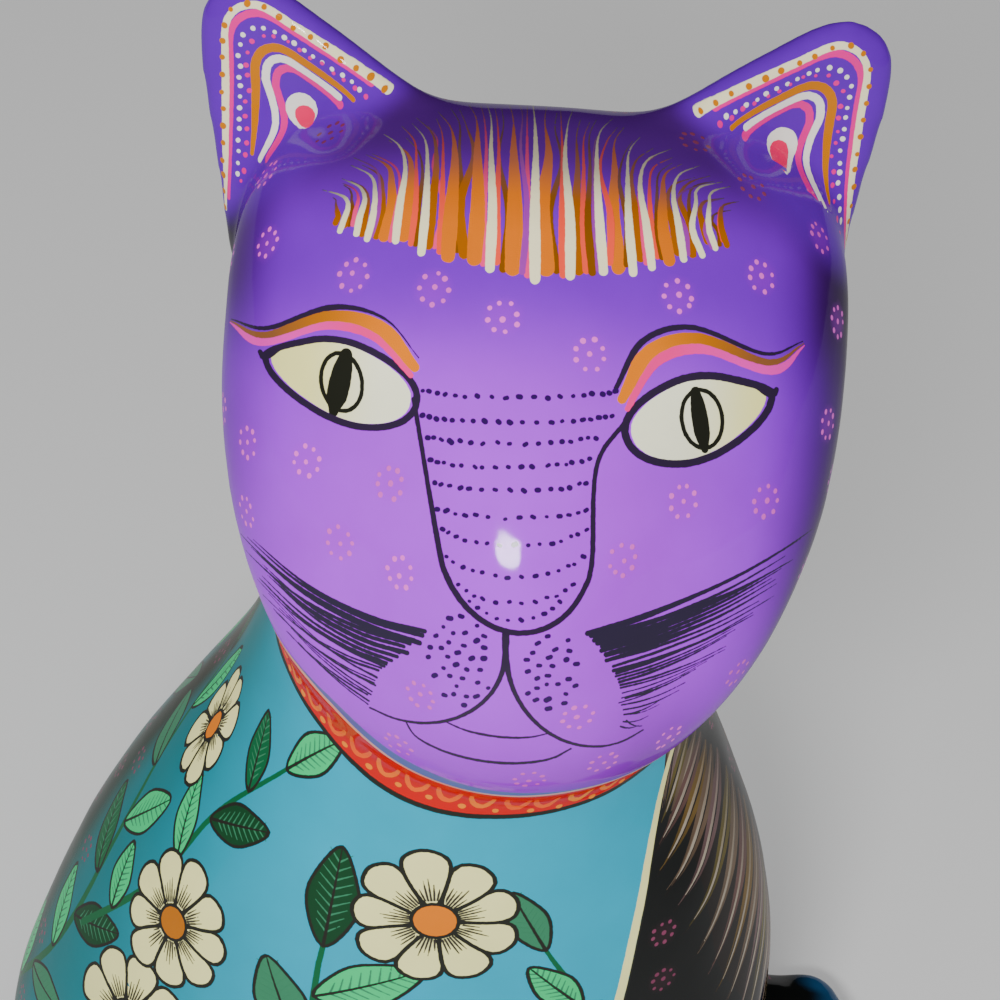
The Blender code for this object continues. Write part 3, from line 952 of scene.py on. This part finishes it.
TUFT_COLOURS = {"o": pigment(168, 92, 0), "O": pigment(228, 116, 0), "c": pigment(255, 246, 200),
                "p": pigment(255, 56, 130), "r": pigment(255, 78, 56), "l": pigment(160, 56, 170),
                "b": pigment(130, 76, 10)}
TUFT_SHARES = {"o": 1.15, "O": 1.65, "c": 1.0, "p": 0.7, "r": 0.75, "l": 0.6, "b": 0.8}
TUFT_ORDER = "ocobpcocloOpcOrbcoprOboOpcrbOlpcObrcorblcrObcopcrbOoclobcolcbro"
TUFT_LOW = 12.8
TUFT_HIGH = 50.5
TUFT_LEFT = -36.2
TUFT_RIGHT = 40.4
TIP_GREY = pigment(112, 92, 118)

spread = np.array([TUFT_SHARES[kind] for kind in TUFT_ORDER])
spread *= 1.25 - 0.6 * np.abs(np.linspace(-1, 1, len(spread)))
edges = np.concatenate([[0.0], np.cumsum(spread)]) / spread.sum()
for index in sorted(range(len(TUFT_ORDER)), key=lambda index: (TUFT_ORDER[index] == "c", index % 3)):
    kind = TUFT_ORDER[index]
    share = 0.5 * (edges[index] + edges[index + 1])
    outward = 2 * share - 1
    across = TUFT_LEFT + (TUFT_RIGHT - TUFT_LEFT) * share
    own_width = (TUFT_RIGHT - TUFT_LEFT) * (edges[index + 1] - edges[index])
    longer = kind == "c"
    foot = TUFT_LOW + (8.8 + 2.1 * outward) * abs(outward) ** 1.4 + luck.uniform(-0.8, 1.2) - 1.3 * longer
    tip = TUFT_HIGH - (22.8 - 3.8 * outward) * abs(outward) ** 1.7 + luck.uniform(-3.4, 0.6) + 1.2 * longer
    tall = tip - foot
    wave = luck.normal(0.0, 0.45)
    hook = outward * (3.4 + 2.6 * abs(outward)) * min(1.0, tall / 17) + luck.normal(0.0, 0.5)
    path = ((across, foot), (across - 0.25 * hook + wave, foot + 0.32 * tall),
            (across - 0.38 * hook - wave, foot + 0.64 * tall), (across - 0.1 * hook, foot + 0.86 * tall),
            (across + hook, tip))
    foot_width = 1.3 * own_width + 0.1
    shade = TUFT_COLOURS[kind]
    # The darkened tip colours are painted shade.
    shaded_tip_colour = blended(shade, TIP_GREY, 0.4)
    colours = [shade, shade, 0.85 * shade, 0.6 * shaded_tip_colour, 0.42 * shaded_tip_colour, 0.5 * TIP_GREY]
    widths = (0.9 * foot_width, foot_width, 0.86 * foot_width, 0.66 * foot_width, 0.4 * foot_width, 0.3, 0.15)
    stroke(face, drawn(path), widths, colours)


# ---------------------------------------------------------------------------------------------
# The ears. Each dish is lined with open bands that run up one edge, round under the tip and down
# the other: cream beaded with ochre, pink, rows of dots, ochre, white, rose, and a drop inside.

SHADED_EAR_PURPLE = pigment(104, 22, 186)
EAR_BACK = pigment(74, 22, 128)
EAR_RUN = (0.664, 0.747)
EAR_SLOPE = 0.49
EAR_TURN_OVER = math.radians(116)
BEADS = pigment(210, 124, 0)
HOT_PINK = pigment(255, 34, 100)
BAND_PINK = pigment(246, 30, 150)
EAR_WHITE_PAINT = pigment(255, 250, 240)
EAR_CREAM = TUFT_COLOURS["c"]


def ear_band(outer, foot, top, rounding, reach, waist=0.0):
    """Up the outer edge, round under the tip and down the other edge to where it ends."""
    middle = (outer - rounding, top - rounding)
    arc = oval_points(middle, (rounding, rounding), 5, 0.0, EAR_TURN_OVER * 5 / 4)
    down = np.array((1.0, EAR_SLOPE))
    close_by = 0.6 * rounding
    end = arc[-1] - (arc[-1][0] - reach) * down
    rising = [(outer, foot), (outer - waist, 0.6 * foot + 0.4 * middle[1]), (outer, middle[1] - close_by)]
    return np.concatenate([rising, arc, [arc[-1] - close_by * down, 0.5 * (arc[-1] + end), end]])


def spaced(line, gap):
    """Places at equal distances along a line."""
    line = curve(line)
    reach = np.concatenate([[0.0], np.cumsum(np.linalg.norm(np.diff(line, axis=0), axis=1))])
    wanted = np.linspace(0.0, reach[-1], max(2, int(reach[-1] / gap)) + 1)
    return np.stack([np.interp(wanted, reach, line[:, axis]) for axis in (0, 1)], 1)


cream_band = ear_band(66, 17, 62, 6.5, 31)
pink_band = ear_band(65, 20, 60.5, 6.5, 34.5)
ochre_band = ear_band(60, 30.5, 53.6, 5, 38)
white_band = ear_band(57.8, 30, 51.3, 3.6, 41.5, 2.2)
rose_band = ear_band(55.8, 31, 49.4, 3.2, 41, 2.2)
for side in (-1, 1):
    stance = ear_stance(side)
    stance.translation += SHIFT
    turned = np.array(stance.to_3x3())
    in_ear = (CORNERS - 1000 * np.array(stance.translation)) @ turned
    facing_ear = FACING @ turned
    beside = (MIDDLES - 1000 * np.array(stance.translation)) @ turned
    dish = (facing_ear[:, 1] < -0.25) & (abs(beside[:, 1]) < 12)
    dish &= (beside[:, 0] * side > 28) & (beside[:, 2] > 12)
    ear_sheet = Sheet(side * in_ear[..., 0], in_ear[..., 2], dish & on_head & (side * beside[:, 0] > 0))
    # The ears' purple ground, darker than the face, is painted shade.
    of_ear = smooth(-2.5, 4.5, EAR_RUN[0] * (side * in_ear[..., 0] - 30) + EAR_RUN[1] * (in_ear[..., 2] - 46))
    of_ear *= (on_head & (side * beside[:, 0] > 0) & (MIDDLES[:, 2] > EAR_LEVEL - 12))[:, None]
    ear_tone = blended(SHADED_EAR_PURPLE, EAR_BACK, smooth(-0.1, 0.5, facing_ear[:, 1])[:, None])
    ground[:] = blended(ground, ear_tone, of_ear)
    bare[(MIDDLES[:, 2] > EAR_LEVEL) & (from_head.mean(1) > 2.0)] = False
    stroke(ear_sheet, pink_band, (0.9, 1.2, 1.5, 1.6, 1.6, 1.2), BAND_PINK)
    stroke(ear_sheet, cream_band, (0.8, 1.5, 1.6, 1.5, 1.5, 1.8, 1.6), EAR_CREAM)
    for spot in spaced(cream_band + (0.6, 0.1), 3.5):
        dot(ear_sheet, spot + luck.normal(0, 0.15, 2), luck.uniform(1.0, 1.5), BEADS)
    stroke(ear_sheet, ochre_band, (0.9, 1.5, 1.9, 2.0, 1.9, 1.6, 1.0), BEADS)
    stroke(ear_sheet, rose_band, (1.2, 1.6, 1.6, 1.7, 1.6, 1.6), BAND_PINK)
    stroke(ear_sheet, white_band, (1.1, 1.5, 1.5, 1.7, 1.7, 1.5, 1.5), EAR_WHITE_PAINT)
    row = 0.5 * (pink_band + ochre_band)
    for spot in spaced(row + (0.6, 0.4), 2.3):
        dot(ear_sheet, spot + luck.normal(0, 0.15, 2), luck.uniform(0.8, 1.2), EAR_WHITE_PAINT)
    for spot in spaced(row + (-0.8, -0.9), 2.7):
        dot(ear_sheet, spot + luck.normal(0, 0.2, 2), luck.uniform(0.7, 1.25), BAND_PINK)
    fill(ear_sheet, oval_points((50, 41), (3.8, 3.3)), EAR_WHITE_PAINT)
    fill(ear_sheet, oval_points((49, 40), (2.6, 1.9)), HOT_PINK)


# ---------------------------------------------------------------------------------------------
# The painting on each flank. Turquoise is laid first, darker toward the back as painted shade,
# then leafy sprays with open cream blossoms are laid flat, hatched with a fine liner, and
# outlined. The far flank is plainer.

PETAL = pigment(255, 252, 172)
HATCH = pigment(56, 52, 44)
LEAF = pigment(6, 212, 124)
LEAF_DEEP = pigment(4, 98, 56)
LEAF_GREY = pigment(52, 130, 92)
FOREST = pigment(8, 66, 34)
OLIVE = pigment(62, 58, 16)
BAND_TOP = 26.0
BORDER = ((79, 201), (76, 186), (56, 146), (46, 104), (34, BAND_TOP))
HEART_SHARE = 0.26
PETAL_FULLNESS = 0.92
LEAF_GAP = 15.0
LEAF_TURN = 1.1
LEAF_SLIMNESS = 0.42


def blossom(sheet, place, size, petals, heart):
    """An open flower seen from the front: round petals, each hatched from its root and outlined."""
    place = np.array(place, float)
    begin = luck.uniform(0.0, math.pi)
    fill(sheet, oval_points(place, (0.55 * size, 0.55 * size)), PETAL)
    for index in range(petals):
        angle = begin + 2 * math.pi * index / petals
        out = np.array((math.cos(angle), math.sin(angle))) * size * luck.uniform(0.92, 1.06)
        aside = np.array((-out[1], out[0])) * PETAL_FULLNESS * math.pi / petals
        shares = ((0.18, 0.0), (0.6, 0.7), (0.88, 0.75), (1.0, 0.0), (0.88, -0.75), (0.6, -0.7))
        edge = [place + along * out + across * aside for along, across in shares]
        fill(sheet, edge, PETAL)
        for across in np.linspace(-0.5, 0.5, 7):
            start = place + 0.3 * out + 0.6 * across * aside
            end = place + (0.62 - 0.3 * abs(across)) * luck.uniform(0.85, 1.1) * out + across * aside
            stroke(sheet, (start, end), (0.5, 0.45, 0.15), HATCH)
        stroke(sheet, edge, (0.95,), INK_GREEN, closed=True)
    middle = oval_points(place, (HEART_SHARE * size, HEART_SHARE * size))
    fill(sheet, middle, heart)
    stroke(sheet, middle, (0.85,), INK_GREEN, closed=True)


def leaf(sheet, foot, tip, width, colour):
    """One long leaf with a mid rib and side veins."""
    foot, tip = np.array(foot, float), np.array(tip, float)
    run = tip - foot
    out = np.array((-run[1], run[0])) / np.linalg.norm(run) * width / 2
    edge = [foot, foot + 0.3 * run + 0.9 * out, foot + 0.6 * run + out, tip, foot + 0.6 * run - out,
            foot + 0.3 * run - 0.9 * out]
    fill(sheet, edge, colour)
    for share in np.linspace(0.15, 0.85, 9):
        for side in (-1, 1):
            start = foot + share * run
            end = start + 0.10 * run + side * 0.7 * out * math.sin(math.pi * share) ** 0.5
            stroke(sheet, (start, end), (0.5, 0.2), LEAF_GREY)
    stroke(sheet, edge, (0.8,), INK_GREEN, closed=True)
    stroke(sheet, (foot, tip), (0.8, 0.3), INK_GREEN)


def spray(sheet, path, width, size, colours):
    """A bowed stem with leaves set to its left and right in turn, and one at its tip."""
    stroke(sheet, path, (width, 0.9 * width, 0.5 * width), colours[0])
    spots = spaced(path, LEAF_GAP)
    for index in range(1, len(spots)):
        run = spots[index] - spots[index - 1]
        run /= np.linalg.norm(run)
        turn_out = 0.0 if index == len(spots) - 1 else LEAF_TURN * (1 if index % 2 else -1)
        way = run + turn_out * np.array((-run[1], run[0]))
        way *= size * luck.uniform(0.85, 1.1) / np.linalg.norm(way)
        leaf(sheet, spots[index], spots[index] + way, LEAF_SLIMNESS * size, colours[index % len(colours)])


flank = {}
not_head = ~on_head
for side in (-1, 1):
    on_side = not_head & (np.sign(turn_middle) == side) & (MIDDLES[:, 2] > BAND_TOP - 4)
    flank[side] = Sheet(around[side], height, on_side)
back_dark = smooth(-92, -114, from_chest)
shade = blended(FOREST, OLIVE, smooth(120, 175, height))
back_colour = blended(shade, NIGHT, 0.6 * smooth(-98, -114, from_chest))
ground[not_head] = (ground + (back_colour - ground) * back_dark[..., None])[not_head]

for side in (-1, 1):
    sheet = flank[side]
    greens = (LEAF_DEEP, LEAF, LEAF_GREY, LEAF, FOREST)
    spray(sheet, ((-118, 40), (-92, 84), (-88, 128), (-104, 168)), 2.4, 24, greens)
    spray(sheet, ((-96, 30), (-52, 56), (-20, 96), (-14, 130)), 2.4, 26, greens)
    spray(sheet, ((-64, 30), (-20, 44), (18, 60), (34, 92)), 2.0, 22, greens)
    blossom(sheet, (-58, 86), 17, 8, OCHRE)
    blossom(sheet, (-6, 62), 15, 7, OCHRE)
    if side < 0:
        spray(sheet, ((-84, 96), (-62, 124), (-50, 148), (-30, 168)), 2.0, 21, greens)
        spray(sheet, ((34, 92), (38, 112), (30, 132)), 1.8, 18, greens)
        blossom(sheet, (-72, 160), 14, 8, ORANGE)
        blossom(sheet, (-52, 118), 17, 9, OCHRE)
        blossom(sheet, (8, 142), 18, 9, ORANGE)
        blossom(sheet, (18, 102), 13, 7, OCHRE)
    else:
        blossom(sheet, (-34, 134), 18, 8, OCHRE)


# ---------------------------------------------------------------------------------------------
# The chest, its fur and the feet. Charcoal behind a clean cream edge, with a fan of long soft
# strokes that spring from the neck and sweep back and down. Black feet have blue toes.

FUR_BROWN = pigment(62, 46, 32)
FUR_DARK = pigment(26, 19, 15)
FUR_MID = (pigment(112, 90, 70), pigment(112, 84, 84), pigment(100, 88, 30), pigment(114, 94, 74),
           pigment(104, 72, 66), pigment(116, 90, 36))
FUR_PALE = pigment(172, 160, 142)
FUR_COUNT = 19
FUR_ROOTS = ((68, 180), (98, 156), (114, 124), (117, 88))
FUR_TIPS = ((64, 162), (62, 140), (78, 93), (104, 56))
BLUE_TOE = pigment(24, 72, 112)
PAW_EDGE = 0.006

for side in (-1, 1):
    sheet = flank[side]
    edge = curve(BORDER)
    chest = np.concatenate([edge, [(124, BAND_TOP - 4), (124, 206), (76, 206)]])
    fill(sheet, chest, CHARCOAL, closed_curve=False)
    bare[sheet.faces[sheet.corners[..., 0].min(1) > np.interp(sheet.corners[..., 1].mean(1), edge[::-1, 1],
                                                             edge[::-1, 0]) + 2.0]] = True
    fill(sheet, list(FUR_ROOTS) + [(98, 72), (76, 102), (72, 124), (70, 146), (68, 162)], FUR_DARK)
    for index in range(FUR_COUNT):
        share = index / (FUR_COUNT - 1)
        root = ramp(curve(FUR_ROOTS), np.array(share)) + luck.normal(0.0, 0.5, 2)
        tip = ramp(curve(FUR_TIPS), np.array(share)) + luck.normal(0.0, 0.8, 2)
        bow = np.array((1.5 + 2.5 * share, 1.0 + 4.0 * share))
        path = np.array([root, root + (tip - root) / 3 + 0.7 * bow, root + (tip - root) * 2 / 3 + bow, tip])
        mid = FUR_MID[index % len(FUR_MID)]
        stroke(sheet, path - (0.6, 0.4), (3.4, 6.2, 5.6, 3.2, 0.5),
               [FUR_BROWN, 0.75 * mid, 0.95 * mid, 0.6 * mid, 0.3 * mid])
        for aside in (-1.9, -0.6):
            fine = path + (aside, 0.7 * aside) + luck.normal(0.0, 0.25, 2)
            stroke(sheet, fine, (0.4, 0.9, 0.8, 0.2), [0.6 * mid, blended(mid, FUR_PALE, 0.2), 0.6 * mid])
        stroke(sheet, path - (3.1, 2.1), (0.3, 0.8, 0.7, 0.2), FUR_DARK)
        stroke(sheet, path + (0.9, 0.6), (0.4, 1.1, 1.25, 1.0, 0.2),
               [0.8 * mid, blended(mid, FUR_PALE, 0.35), blended(mid, FUR_PALE, 0.6), FUR_PALE,
                0.9 * FUR_PALE])
    stroke(sheet, np.array(BORDER) - (1.1, 0.0), (2.2,), PETAL)
    stroke(sheet, np.array(BORDER) + (0.3, 0.0), (0.4,), INK_GREEN)

foot = MIDDLES[:, 2] < BAND_TOP
for place, radii in ((FOREPAW_PLACE, FOREPAW_RADII), (HINDPAW_PLACE, HINDPAW_RADII)):
    for side in (-1, 1):
        away = (MIDDLES / 1000 - np.array(paired(place, side) + SHIFT)) / (np.array(radii) + PAW_EDGE)
        foot |= (np.linalg.norm(away, axis=1) < 1.0) & not_head
belt = Sheet(SHEET_RADIUS * turn, height, not_head & (MIDDLES[:, 2] < BAND_TOP + 8))
ground[not_head & foot] = CHARCOAL
bare[not_head & foot] = True
coats[not_head & foot] = 0
paints[not_head & foot] = BLANK
round_trip = 4.0 + math.pi * SHEET_RADIUS
fill(belt, ((-round_trip, -9), (-round_trip, BAND_TOP), (round_trip, BAND_TOP), (round_trip, -9)), CHARCOAL,
     closed_curve=False)
bare[not_head & foot] = True

for place, radii in ((FOREPAW_PLACE, FOREPAW_RADII), (HINDPAW_PLACE, HINDPAW_RADII)):
    for side in (-1, 1):
        middle = paired(place, side) + SHIFT
        for toe in range(TOES):
            angle = TOE_SPREAD * (2 * toe / (TOES - 1) - 1)
            reach = Vector((radii[0] * math.cos(angle), TOE_FAN * radii[1] * math.sin(angle), 0.0))
            ball_place = 1000 * np.array(middle + TOE_SETBACK * reach)
            away = (CORNERS - ball_place) / (1000 * TOE_RADIUS * np.array((TOE_STRETCH, 1.0, TOE_STRETCH)))
            near_toe = smooth(1.3, 0.95, np.linalg.norm(away, axis=-1)) * smooth(-0.5, 0.3, away[..., 0])
            ground[:] = blended(ground, BLUE_TOE, near_toe)


# ---------------------------------------------------------------------------------------------
# The collar. A red band fills the fold where jaw meets neck, with a thin tan line above it,
# orange scallops and beads along it, and a black line below. Above the tan line, on the jaw's
# underside, a grey-blue band is painted shade of the fold with a painted reflection of the
# turquoise body.

RED = pigment(216, 0, 0)
SCALLOP = pigment(255, 84, 0)
GLOW = pigment(255, 138, 10)
TAN = pigment(239, 163, 142)
FOLD_SHADE = pigment(104, 98, 168)
FOLD_STEPS = 48
FRONT_FROM = (70, 105)
FRONT_TO = (180, 215)
CHIN_AT = 137.0
CHIN_REACH = 20.0
SCALLOPS = 44

low_down = (MIDDLES[:, 2] < EAR_LEVEL) & (MIDDLES[:, 2] > 150)
fold = MIDDLES[low_down & (np.abs(from_head.mean(1) - HEAD_JOIN) < 0.4)]
neck_middle = fold.mean(0)


def bearing(points):
    """The way round the neck, from its far side, as a share of a full turn."""
    away = points - neck_middle
    return ((np.arctan2(away[..., 1], away[..., 0]) - math.pi / 2) / (2 * math.pi)) % 1.0


step_of = (bearing(fold) * FOLD_STEPS).astype(int)
ring = np.array([np.median(fold[step_of == step], axis=0) for step in range(FOLD_STEPS)])
ring = np.concatenate([ring, ring[:1]])
ring_length = np.linalg.norm(np.diff(ring, axis=0), axis=1).sum()
reachable = np.flatnonzero(low_down & (np.abs(from_head) < 26).all(1))
around_neck = np.full(height.shape, 999.0)
below = np.full(height.shape, 99.0)
along, gap = nearest_on(ring, CORNERS[reachable].reshape(-1, 3), True)
along = along.reshape(-1, 3)
along -= ring_length * np.round((along - along[:, :1]) / ring_length)
around_neck[reachable] = along
below[reachable] = np.abs(gap).reshape(-1, 3) * np.sign(from_head[reachable] - HEAD_JOIN)
band = Sheet(around_neck, -below, np.abs(below).max(1) < 24)


def in_front(places):
    return smooth(*FRONT_FROM, places) * smooth(*FRONT_TO[::-1], places)


def at_chin(places):
    return np.exp(-((places - CHIN_AT) / CHIN_REACH) ** 2)


def collar_top(places):
    """The red's upper edge: it climbs under both cushions of the muzzle and dips at the chin."""
    return 5.0 + 8.5 * in_front(places) - 4.2 * at_chin(places)


def collar_foot(places):
    return -5.0 + 1.8 * in_front(places) - 2.6 * at_chin(places)


def fold_shade_top(places):
    return collar_top(places) + 5.4 * at_chin(places) ** 0.5


def hoop(level, width, colour):
    """A line round the neck at its own height at each place."""
    places = np.linspace(-2, ring_length + 2, 90)
    stroke(band, np.stack([places, level(places)], 1), (width,), colour, steps=2)


def hoop_band(low, high, colour):
    places = np.linspace(-2, ring_length + 2, 90)
    top = np.stack([places, high(places)], 1)
    foot_edge = np.stack([places, low(places)], 1)
    fill(band, np.concatenate([top, foot_edge[::-1]]), colour, closed_curve=False)


# The grey-blue band on the jaw's underside is painted shade and painted reflection.
hoop_band(collar_top, fold_shade_top, FOLD_SHADE)
hoop_band(collar_foot, collar_top, RED)
hoop(collar_top, 1.5, TAN)
hoop(collar_foot, 1.4, INK_GREEN)
pitch = ring_length / SCALLOPS
for index in range(SCALLOPS):
    middle = pitch * (index + 0.5) + luck.normal(0.0, 0.25)
    bottom = 0.32 * float(collar_foot(middle))
    arc = oval_points((middle, bottom + 5.6), (2.4, 5.6), 10, math.pi * 1.02, math.pi * 1.06)
    stroke(band, arc, (0.8, 1.3, 1.45, 1.25, 0.8), blended(SCALLOP, GLOW, luck.uniform(0, 1)), steps=3)
    dot(band, (middle + pitch / 2, bottom - 0.8 + luck.uniform(-0.3, 0.3)), luck.uniform(1.3, 1.8), GLOW)


# ---------------------------------------------------------------------------------------------
# The small flowers. Eight dots in a ring round one in the middle, each set on a faint blush, are
# scattered wherever the head, chest, back and feet were left plain.

FLOWER = pigment(255, 104, 236)
FLOWER_DARK = pigment(140, 62, 96)
BLUSH = pigment(190, 10, 235)
FLOWER_RING = 2.9
FLOWER_ROOM = 4.4
FLOWER_GAP = 14.0
FLOWER_COUNT = 190

skin_tree = kdtree.KDTree(len(MIDDLES))
for index, middle in enumerate(MIDDLES):
    skin_tree.insert(middle, index)
skin_tree.balance()
around_either = np.where(turn_middle < 0, around[-1].mean(1), around[1].mean(1))
beyond = around_either > np.interp(MIDDLES[:, 2], edge[::-1, 1], edge[::-1, 0]) + 4
plain = bare & (on_head | foot | beyond | (around_either < -100)) & (MIDDLES[:, 2] > 6)
tops = np.flatnonzero(plain)
luck.shuffle(tops)
flower_places = []
for index in tops:
    if len(flower_places) == FLOWER_COUNT:
        break
    middle = MIDDLES[index]
    if flower_places and np.linalg.norm(np.array(flower_places) - middle, axis=1).min() < FLOWER_GAP:
        continue
    close = np.array([found[1] for found in skin_tree.find_range(middle, FLOWER_ROOM)])
    if not bare[close].all() or (FACING[close] @ FACING[index]).min() < 0.55:
        continue
    flower_places.append(middle)
    normal = FACING[close].mean(0)
    across = np.cross((0.0, 0.0, 1.0), normal) + (1e-6, 0, 0)
    across /= np.linalg.norm(across)
    up = np.cross(normal, across)
    away = CORNERS - middle
    chosen = np.zeros(len(MIDDLES), bool)
    chosen[close] = True
    petals = Sheet(away @ across, away @ up, chosen)
    # Flowers on the shaded top of the head take the darker pink as painted shade; those on the black behind
    # the head and on the chest, back and feet are dusty pink in their own colour.
    lit = on_head[index] and local[index, :, 1].mean() < -2 and crown_shade[index].mean() < 0.5
    colour = (FLOWER if lit else FLOWER_DARK) * luck.uniform(0.72, 1.0)
    blush = smooth(4.6, 1.6, np.linalg.norm(away[close], axis=-1))
    ground[close] = blended(ground[close], BLUSH if lit else FLOWER_DARK, (0.22 if lit else 0.06) * blush)
    start = luck.uniform(0, 0.8)
    for petal in range(8):
        angle = start + petal * math.pi / 4 + luck.normal(0, 0.07)
        size = FLOWER_RING * luck.uniform(0.92, 1.08)
        dot(petals, (size * math.cos(angle), size * math.sin(angle)), luck.uniform(0.85, 1.2), colour)
    dot(petals, luck.normal(0, 0.25, 2), luck.uniform(0.95, 1.3), colour)
underneath = (MIDDLES[:, 2] < 0.6) & (FACING[:, 2] < -0.7)
ground[underneath] = pigment(150, 78, 48)


# ---------------------------------------------------------------------------------------------
# The paint itself. Each mark is worked out at the true place on the skin from how far along and
# off the pull of the brush a point lies, so that its edge stays crisp at any size. The brush
# leaves a faint ridge, and a clear varnish is flowed over everything.

def store(name, kind, values):
    attribute = cat.data.attributes.new(name, kind, "CORNER")
    socket = "color" if kind == "FLOAT_COLOR" else "vector"
    attribute.data.foreach_set(socket, np.ascontiguousarray(values, np.float32).ravel())


store("ground", "FLOAT_COLOR", np.concatenate([ground, np.ones(ground.shape[:2] + (1,))], -1))
for coat in range(COATS):
    store(f"place_{coat}", "FLOAT_VECTOR", places[:, coat])
    store(f"paint_{coat}", "FLOAT_COLOR", paints[:, coat])


def painted_surface(material):
    material.use_nodes = True
    nodes, link = material.node_tree.nodes, material.node_tree.links.new
    shader = nodes["Principled BSDF"]

    def maths(operation, *values, clamp=False):
        node = nodes.new("ShaderNodeMath")
        node.operation = operation
        node.use_clamp = clamp
        for socket, value in zip(node.inputs, values):
            if isinstance(value, (int, float)):
                socket.default_value = value
            else:
                link(value, socket)
        return node.outputs[0]

    def attribute(name):
        node = nodes.new("ShaderNodeAttribute")
        node.attribute_name = name
        return node

    where = nodes.new("ShaderNodeTexCoord").outputs["Object"]

    def noise(scale, detail=2.0):
        node = nodes.new("ShaderNodeTexNoise")
        node.inputs["Scale"].default_value = scale
        node.inputs["Detail"].default_value = detail
        link(where, node.inputs["Vector"])
        return node.outputs[0]

    tremble = maths("MULTIPLY", maths("SUBTRACT", noise(900.0), 0.5), 0.22)
    colour = attribute("ground").outputs["Color"]
    film = None
    for coat in range(COATS):
        place = nodes.new("ShaderNodeSeparateXYZ")
        link(attribute(f"place_{coat}").outputs["Vector"], place.inputs[0])
        paint = attribute(f"paint_{coat}")
        beyond_end = maths("SUBTRACT", maths("ABSOLUTE", place.outputs[0]), place.outputs[2])
        overrun = maths("MAXIMUM", beyond_end, 0.0)
        away = maths("SQRT", maths("ADD", maths("MULTIPLY", overrun, overrun),
                                   maths("MULTIPLY", place.outputs[1], place.outputs[1])))
        inside = maths("ADD", maths("SUBTRACT", paint.outputs["Alpha"], away), tremble)
        mask = maths("MULTIPLY_ADD", inside, 8.0, 0.5, clamp=True)
        cover = nodes.new("ShaderNodeMix")
        cover.data_type = "RGBA"
        link(mask, cover.inputs["Factor"])
        link(colour, cover.inputs["A"])
        link(paint.outputs["Color"], cover.inputs["B"])
        colour = cover.outputs["Result"]
        film = mask if film is None else maths("MAXIMUM", film, mask)
    mottled = nodes.new("ShaderNodeVectorMath")
    mottled.operation = "SCALE"
    link(colour, mottled.inputs[0])
    link(maths("MULTIPLY_ADD", noise(70.0, 5.0), 0.2, 0.9), mottled.inputs["Scale"])
    link(mottled.outputs["Vector"], shader.inputs["Base Color"])
    ridge = nodes.new("ShaderNodeBump")
    ridge.inputs["Strength"].default_value = 0.5
    ridge.inputs["Distance"].default_value = 0.00012
    link(maths("ADD", film, maths("MULTIPLY", noise(260.0, 3.0), 0.5)), ridge.inputs["Height"])
    link(ridge.outputs["Normal"], shader.inputs["Normal"])
    shader.inputs["Roughness"].default_value = 0.38
    shader.inputs["Specular IOR Level"].default_value = 0.0
    shader.inputs["Coat Weight"].default_value = 0.4
    shader.inputs["Coat IOR"].default_value = 1.45
    shader.inputs["Coat Roughness"].default_value = 0.08


painted_surface(painted)
for polygon in cat.data.polygons:
    polygon.use_smooth = True
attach(cat, "root")
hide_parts("pottery_cat")


# ---------------------------------------------------------------------------------------------
# The stand: a plain pale floor, soft studio lights and the camera, looking down on the cat's
# lifted face from close by.

floor_shape = bmesh.new()
bmesh.ops.create_grid(floor_shape, x_segments=2, y_segments=2, size=3.0)
floor = new_object("floor", floor_shape)
paper = bpy.data.materials.new("pale_paper")
paper.use_nodes = True
paper.node_tree.nodes["Principled BSDF"].inputs["Base Color"].default_value = (0.96, 0.96, 0.96, 1)
paper.node_tree.nodes["Principled BSDF"].inputs["Roughness"].default_value = 0.9
floor.data.materials.append(paper)

VIEW_DOWN = math.radians(38.0)
VIEW_ROLL = math.radians(4.0)
VIEW_FROM = Vector((0.0045, -0.3767, 0.5066))
camera = bpy.data.objects.new("camera", bpy.data.cameras.new("camera"))
bpy.context.scene.collection.objects.link(camera)
camera.data.lens = 79.56
camera.data.clip_start = 0.01
camera.matrix_world = (Matrix.Translation(VIEW_FROM)
                       @ Matrix.Rotation(math.pi / 2 - VIEW_DOWN, 4, "X")
                       @ Matrix.Rotation(VIEW_ROLL, 4, "Z"))
bpy.context.scene.camera = camera


def softbox(name, place, aim, size, power):
    light = bpy.data.lights.new(name, "AREA")
    light.shape = "ELLIPSE"
    light.size, light.size_y = size
    light.energy = power
    made = bpy.data.objects.new(name, light)
    bpy.context.scene.collection.objects.link(made)
    made.location = place
    made.rotation_euler = (Vector(aim) - Vector(place)).to_track_quat("-Z", "Y").to_euler()
    return made


AIM = (0.0, -0.02, 0.22)
softbox("lamp_near_camera", (-0.075, -0.44, 0.49), AIM, (0.15, 0.055), 2.2)
softbox("high_softbox", (0.0, -0.6, 2.6), AIM, (2.4, 2.4), 9.0).visible_glossy = False
world = bpy.data.worlds.new("studio")
bpy.context.scene.world = world
world.use_nodes = True
world.node_tree.nodes["Background"].inputs["Color"].default_value = (1, 1, 1, 1)
world.node_tree.nodes["Background"].inputs["Strength"].default_value = 0.45
world.cycles_visibility.glossy = False
